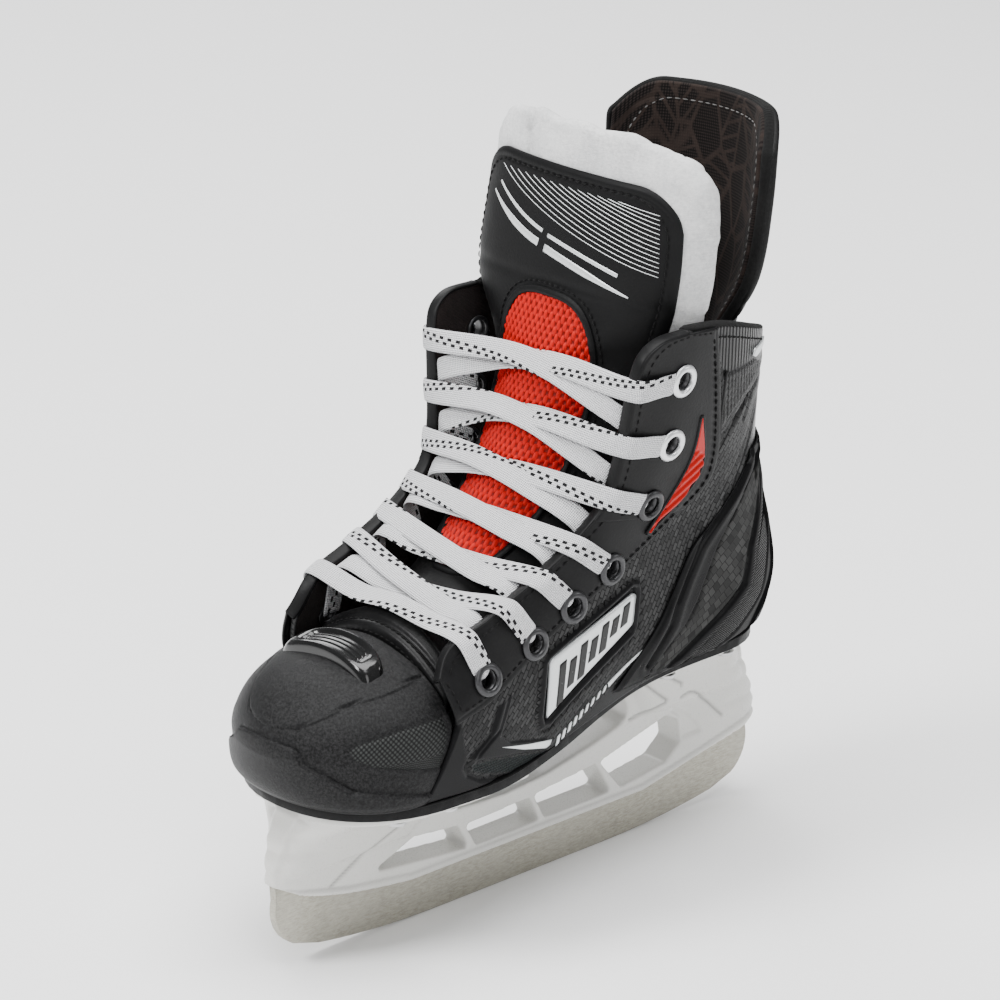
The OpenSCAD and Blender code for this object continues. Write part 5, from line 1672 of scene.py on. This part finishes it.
# ---------- linings and bindings ----------
def lining(name, side, node):
    i, v = grid(180, 90)
    p = mix(low_edge(i * 0.93, 6.6), on_arc(spline(RIM, i)), v[..., None])
    p[..., 0] = np.maximum(GAP, p[..., 0])
    soft = 0.9 * smooth((1 - v) / 0.12) * smooth(v / 0.2) * (0.6 + 0.4 * np.sin(i * 17) * np.sin(v * 7))
    rim = 0.7 * (1 - smooth((1 - v) / 0.06))
    outer = shell_at(p[..., 0], p[..., 1], np.full(v.shape, -SHELL_T - GAP), side)
    inner = shell_at(p[..., 0], p[..., 1], -SHELL_T - GAP - LINER_T - soft + rim, side)
    obj = slab(name, inner, outer, LINING, np.stack([p[..., 0], p[..., 1]], -1), round_segs=4, bulge=0.9)
    finish_piece(obj, "boot", [node], "lining_fabric")


def collar_binding(name, side, node):
    t = np.linspace(0.36, 1, 90)
    p = spline(COLLAR, t)
    path = shell_at(p[:, 0], p[:, 1], np.full(len(t), -SHELL_T / 2 - 0.8), side) + [0, 0, 0.35]
    a = np.linspace(0, 2 * np.pi, 20, endpoint=False)
    prof = np.stack([2.1 * np.sign(np.cos(a)) * np.abs(np.cos(a)) ** 0.7, 1.0 * np.sin(a)], 1)[::-1]
    thin = np.clip(np.minimum(t - 0.36, 1.02 - t) / 0.05, 0.25, 1)
    prof = prof[None] * thin[:, None, None]
    heap = Heap()
    heap.add(*sweep(path, [0, 0, 1], prof))
    finish_piece(heap.make(name, BINDING), "boot", [node], "binding_fabric")


# ---------- side graphics ----------
PLATE = [[-21.9, 68.7], [-20.9, 86.2], [-20.1, 87.2], [13.2, 98.6], [14.4, 97.6], [14.0, 89.6],
         [13.2, 88.3]]
WEDGE = [[-41.9, 65.9], [-30, 63.1], [-19.6, 61.1], [-20.4, 59.7], [-22, 59.1], [-32, 62]]
COLLAR_MARK = [[60.2, 164.6], [59.4, 162.6], [61.2, 161.7], [71, 162.2], [71.8, 164.1]]
INSERT_FRONT = [[0, [30.6, 152.6]], [0.5, [27.8, 137.6]], [1, [15, 118.6]]]
INSERT_BACK = [[0, [31.6, 152.2]], [0.5, [34.4, 133]], [1, [16, 117.8]]]


def side_prints(name, side, plate_node, insert_node):
    def place(q, off):
        return side_at(q, off, side)
    heap = Heap()
    patch(heap, place, PLATE, -0.35, 0.75)
    finish_piece(heap.make(name + "_plate", PRINT), "boot", [plate_node], "badge_silver")
    ink = Heap()
    for i, tall in enumerate((1, 0.72, 1, 0.72, 1, 0.72, 1)):
        c = mix(np.array([-16.6, 78.4]), np.array([9.6, 92.8]), i / 6)
        h = mix(6.6, 3.4, i / 6) * tall
        bar = [c + [-1.9, -h - 0.5], c + [0.9, -h + 0.55], c + [2.1, h + 0.5], c + [-0.7, h - 0.55]]
        patch(ink, place, bar, 0.36, 0.3, 0.5)
    finish_piece(ink.make(name + "_bars", INK), "boot", [], "badge_gloss")
    marks = Heap()
    patch(marks, place, WEDGE, 0.25, 0.25)
    for i in range(9):
        c = mix(np.array([-16.6, 59.9]), np.array([3.7, 69.9]), i / 8)
        w, h = mix(0.62, 0.5, i / 8), mix(1.4, 1.0, i / 8)
        patch(marks, place, [c + [-w - 0.35, -h - 0.5 * w], c + [w - 0.35, -h + 0.5 * w],
                             c + [w + 0.35, h + 0.5 * w], c + [-w + 0.35, h - 0.5 * w]], 0.1, 0.25, 0.3)
    band(marks, place, [[5.4, 70.6], [14, 75.2], [23.7, 79.7]], [0.9, 0.15], 0.1, 0.25)
    patch(marks, place, COLLAR_MARK, 0.15, 0.5)
    finish_piece(marks.make(name + "_marks", PRINT), "boot", [], "badge_silver")
    t, w = grid(240, 34)
    q = mix(spline(INSERT_FRONT, t), spline(INSERT_BACK, t), w[..., None])
    slope = (q[..., 1] * 0.9 - q[..., 0] * 0.42)
    wave = np.clip(1.4 * np.sin(2 * np.pi * slope / 2.75), -1, 1)
    rib = 0.35 * wave * smooth((t - 0.32) / 0.06)
    edge = np.minimum(np.minimum(w, 1 - w) * np.linalg.norm(
        spline(INSERT_BACK, t) - spline(INSERT_FRONT, t), axis=-1), np.minimum(t, 1 - t) * 40)
    near = side_at(q, GAP + OVER_T + 0.35 + 0.55 * smooth(edge / 0.8) + rib * smooth(edge / 0.6), side)
    far = side_at(q, np.full(t.shape, GAP + OVER_T), side)
    obj = slab(name + "_insert", near, far, RED, q, round_segs=2)
    finish_piece(obj, "boot", [insert_node], "red_insert")
    border = Heap()
    outline = np.vstack([spline(INSERT_FRONT, np.linspace(0, 1, 26)),
                         spline(INSERT_BACK, np.linspace(1, 0, 26))])
    outline = np.vstack([outline, outline[:1]])
    keep = [0] + [i for i in range(1, len(outline)) if np.linalg.norm(outline[i] - outline[i - 1]) > 0.2]
    band(border, place, outline[keep], 0.55, GAP + OVER_T + 0.3, 0.5)
    band(border, place, [[43.2, 163], [42.6, 150], [43.6, 138]], 0.6, 0.3, 0.4)
    finish_piece(border.make(name + "_insert_edge", EYESTAY_SKIN), "boot", [], "eyestay_leather")


# ---------- holder, runner and sole ----------
HOLDER_LINES = [([[42.3, 53.9], [56.4, 42.9], [56, 42.1], [50, 41.2], [42, 40]], 0.5, 0.45),
                ([[49.6, 54.9], [61.9, 47.3], [61.9, 46.4]], 0.4, 0.35),
                ([[62.8, 42], [65.8, 42.9], [68.7, 42.1], [75.9, 36.4], [82.6, 29.9]], 0.5, 0.45),
                ([[-27, 47.5], [-50, 38], [-68, 29], [-80, 22.5]], 0.6, 0.35)]
HOLLOW = [[58.5, 38.1], [61.4, 38.8], [67.3, 35.5], [72.1, 30.5], [74.3, 26.7], [64.5, 26.5],
          [64, 34]]


def holder():
    obj = cad_copy("holder", "holder_moulding", WHITE)
    modify(obj, "REMESH", mode="VOXEL", voxel_size=0.62 * MM)
    apply_all(obj)
    modify(obj, "SMOOTH", iterations=7, factor=0.6)
    apply_all(obj)
    me = obj.data
    only_material(me, WHITE)
    p, n = points_of(obj), vectors_of(obj, "normal")
    q = p[:, 1:]
    sideways = smooth((np.abs(n[:, 0]) - 0.35) / 0.3)
    off = np.zeros(len(p))
    # Painted shade: this mask paints a darker grey into the grooves and the groove under the lip; it is
    # stored as the line attribute.
    groove_shade = np.zeros(len(p))
    for line, width, depth in HOLDER_LINES:
        gap = gap_to(q, line)
        off += groove(gap, width + 0.1, depth + 0.2) * sideways
        groove_shade = np.maximum(groove_shade, bell(gap, 0.45) * sideways)
    off -= 0.8 * smooth(inside(q, HOLLOW) / 1.0) * sideways
    front = smooth((-84 - p[:, 1]) / 8) * smooth((44 - p[:, 2]) / 3) * smooth((p[:, 2] - 25) / 3)
    off += 0.6 * front * (np.abs(np.cos(np.pi * (p[:, 2] - 28) / 6.4)) - 0.6)
    rear = smooth((p[:, 1] - 80) / 8) * smooth((57 - p[:, 2]) / 3) * smooth((p[:, 2] - 28) / 3)
    off += 0.7 * rear * (np.abs(np.cos(np.pi * (p[:, 2] - 30) / 6.6)) - 0.5)
    low = np.interp(p[:, 1], [-100, -73, -48, 48, 72, 100], [24.5, 18.2, 14.6, 14.6, 19.3, 25.4])
    lip = (p[:, 2] - low)
    off += (0.45 * bell(lip - 0.7, 0.7) - 0.3 * bell(lip - 2.0, 0.6)) * sideways
    off = np.where(p[:, 2] > 57.3, 0, off)
    ledge = np.where(p[:, 1] < 10, 48.6, 58.6)
    off += groove(np.abs(p[:, 2] - ledge + 0.3), 0.5, 0.25) * sideways
    set_points(obj, p + n * off[:, None])
    groove_shade = np.maximum(groove_shade, 0.5 * bell(lip - 2.0, 0.5) * sideways)
    me.attributes.new("line", "FLOAT", "POINT").data.foreach_set("value", groove_shade.astype(np.float32))
    shade_smooth(me)
    finish_piece(obj, "boot", ["holder"], "holder_plastic")


def hard_parts():
    for node, name, mat, slot, width in (
            ("runner", "runner_blade", STEEL, "runner_steel", 0.3),
            ("outsole", "outsole_board", SOLE, "outsole_plastic", 0.8),
            ("lasting_board", "inner_board", BOARD, "lasting_board", 0.4),
            ("footbed", "inner_footbed", FOOTBED, "footbed_foam", 0.9),
            ("holder_rivets", "rivets", RIVET, "rivet_steel", 0.35)):
        finish_piece(cad_copy(node, name, mat, width), "boot", [node], slot)
    heap = Heap()
    y = np.concatenate([np.linspace(-96.3, -88, 30), np.linspace(-87, 84, 120),
                        np.linspace(84.5, 88.4, 20)])
    for side in (1, -1):
        path = np.stack([side * (sole_w(y) + 0.12), y, sole_z(y) + SOLE_T - 0.25], 1)
        heap.add(*sweep(path, [0, 0, 1], ring_profile(0.28, 0.2, 6)))
    finish_piece(heap.make("welt_line", GUARD), "boot", [], "outsole_plastic")


# ---------- build ----------
holder()
hard_parts()
toe()
toe_frame()
vamp()
for tag, sign in (("left", 1), ("right", -1)):
    quarter(tag + "_quarter_panel", sign, tag + "_quarter", LINING)
    eyestay(tag + "_eyestay_leather", sign, tag + "_eyestay")
    lining(tag + "_lining_pad", sign, tag + "_lining")
    collar_binding(tag + "_collar_edge", sign, tag + "_collar_binding")
    side_prints(tag + "_side", sign, tag + "_side_badge", tag + "_ankle_insert")
eyelets()
counter()
tongue_pad()
facing()
mesh_insert()
laces()
guard()

corners = [[-3000, -3000, 0], [3000, -3000, 0], [3000, 3000, 0], [-3000, 3000, 0]]
floor = mesh_obj("floor", corners, [[0, 1, 2, 3]], FLOOR.mat, smooth_shade=False)
floor.location.z = -0.0002
add_camera(azimuth=47.0, elevation=20.656, distance=1.48044, target=(0, -0.00763, 0.12358))
add_light("key", (-0.35, -1.2, 1.25), (0, 0, 0.1), 0.6, 27)
add_light("fill", (1.2, -0.5, 0.75), (0, 0, 0.12), 0.8, 6)
add_light("side", (0.9, 1.0, 0.7), (0, 0, 0.12), 0.3, 3)
add_light("top", (0.1, 0.0, 1.9), (0, 0, 0.0), 1.7, 70)
add_light("rear", (-1.2, 0.5, 0.9), (0, 0, 0.12), 0.7, 7)
world = bpy.data.worlds.new("studio")
world.use_nodes = True
sky = world.node_tree.nodes["Background"]
sky.inputs[0].default_value = (0.97, 0.98, 1.0, 1)
sky.inputs[1].default_value = 0.34
bpy.context.scene.world = world
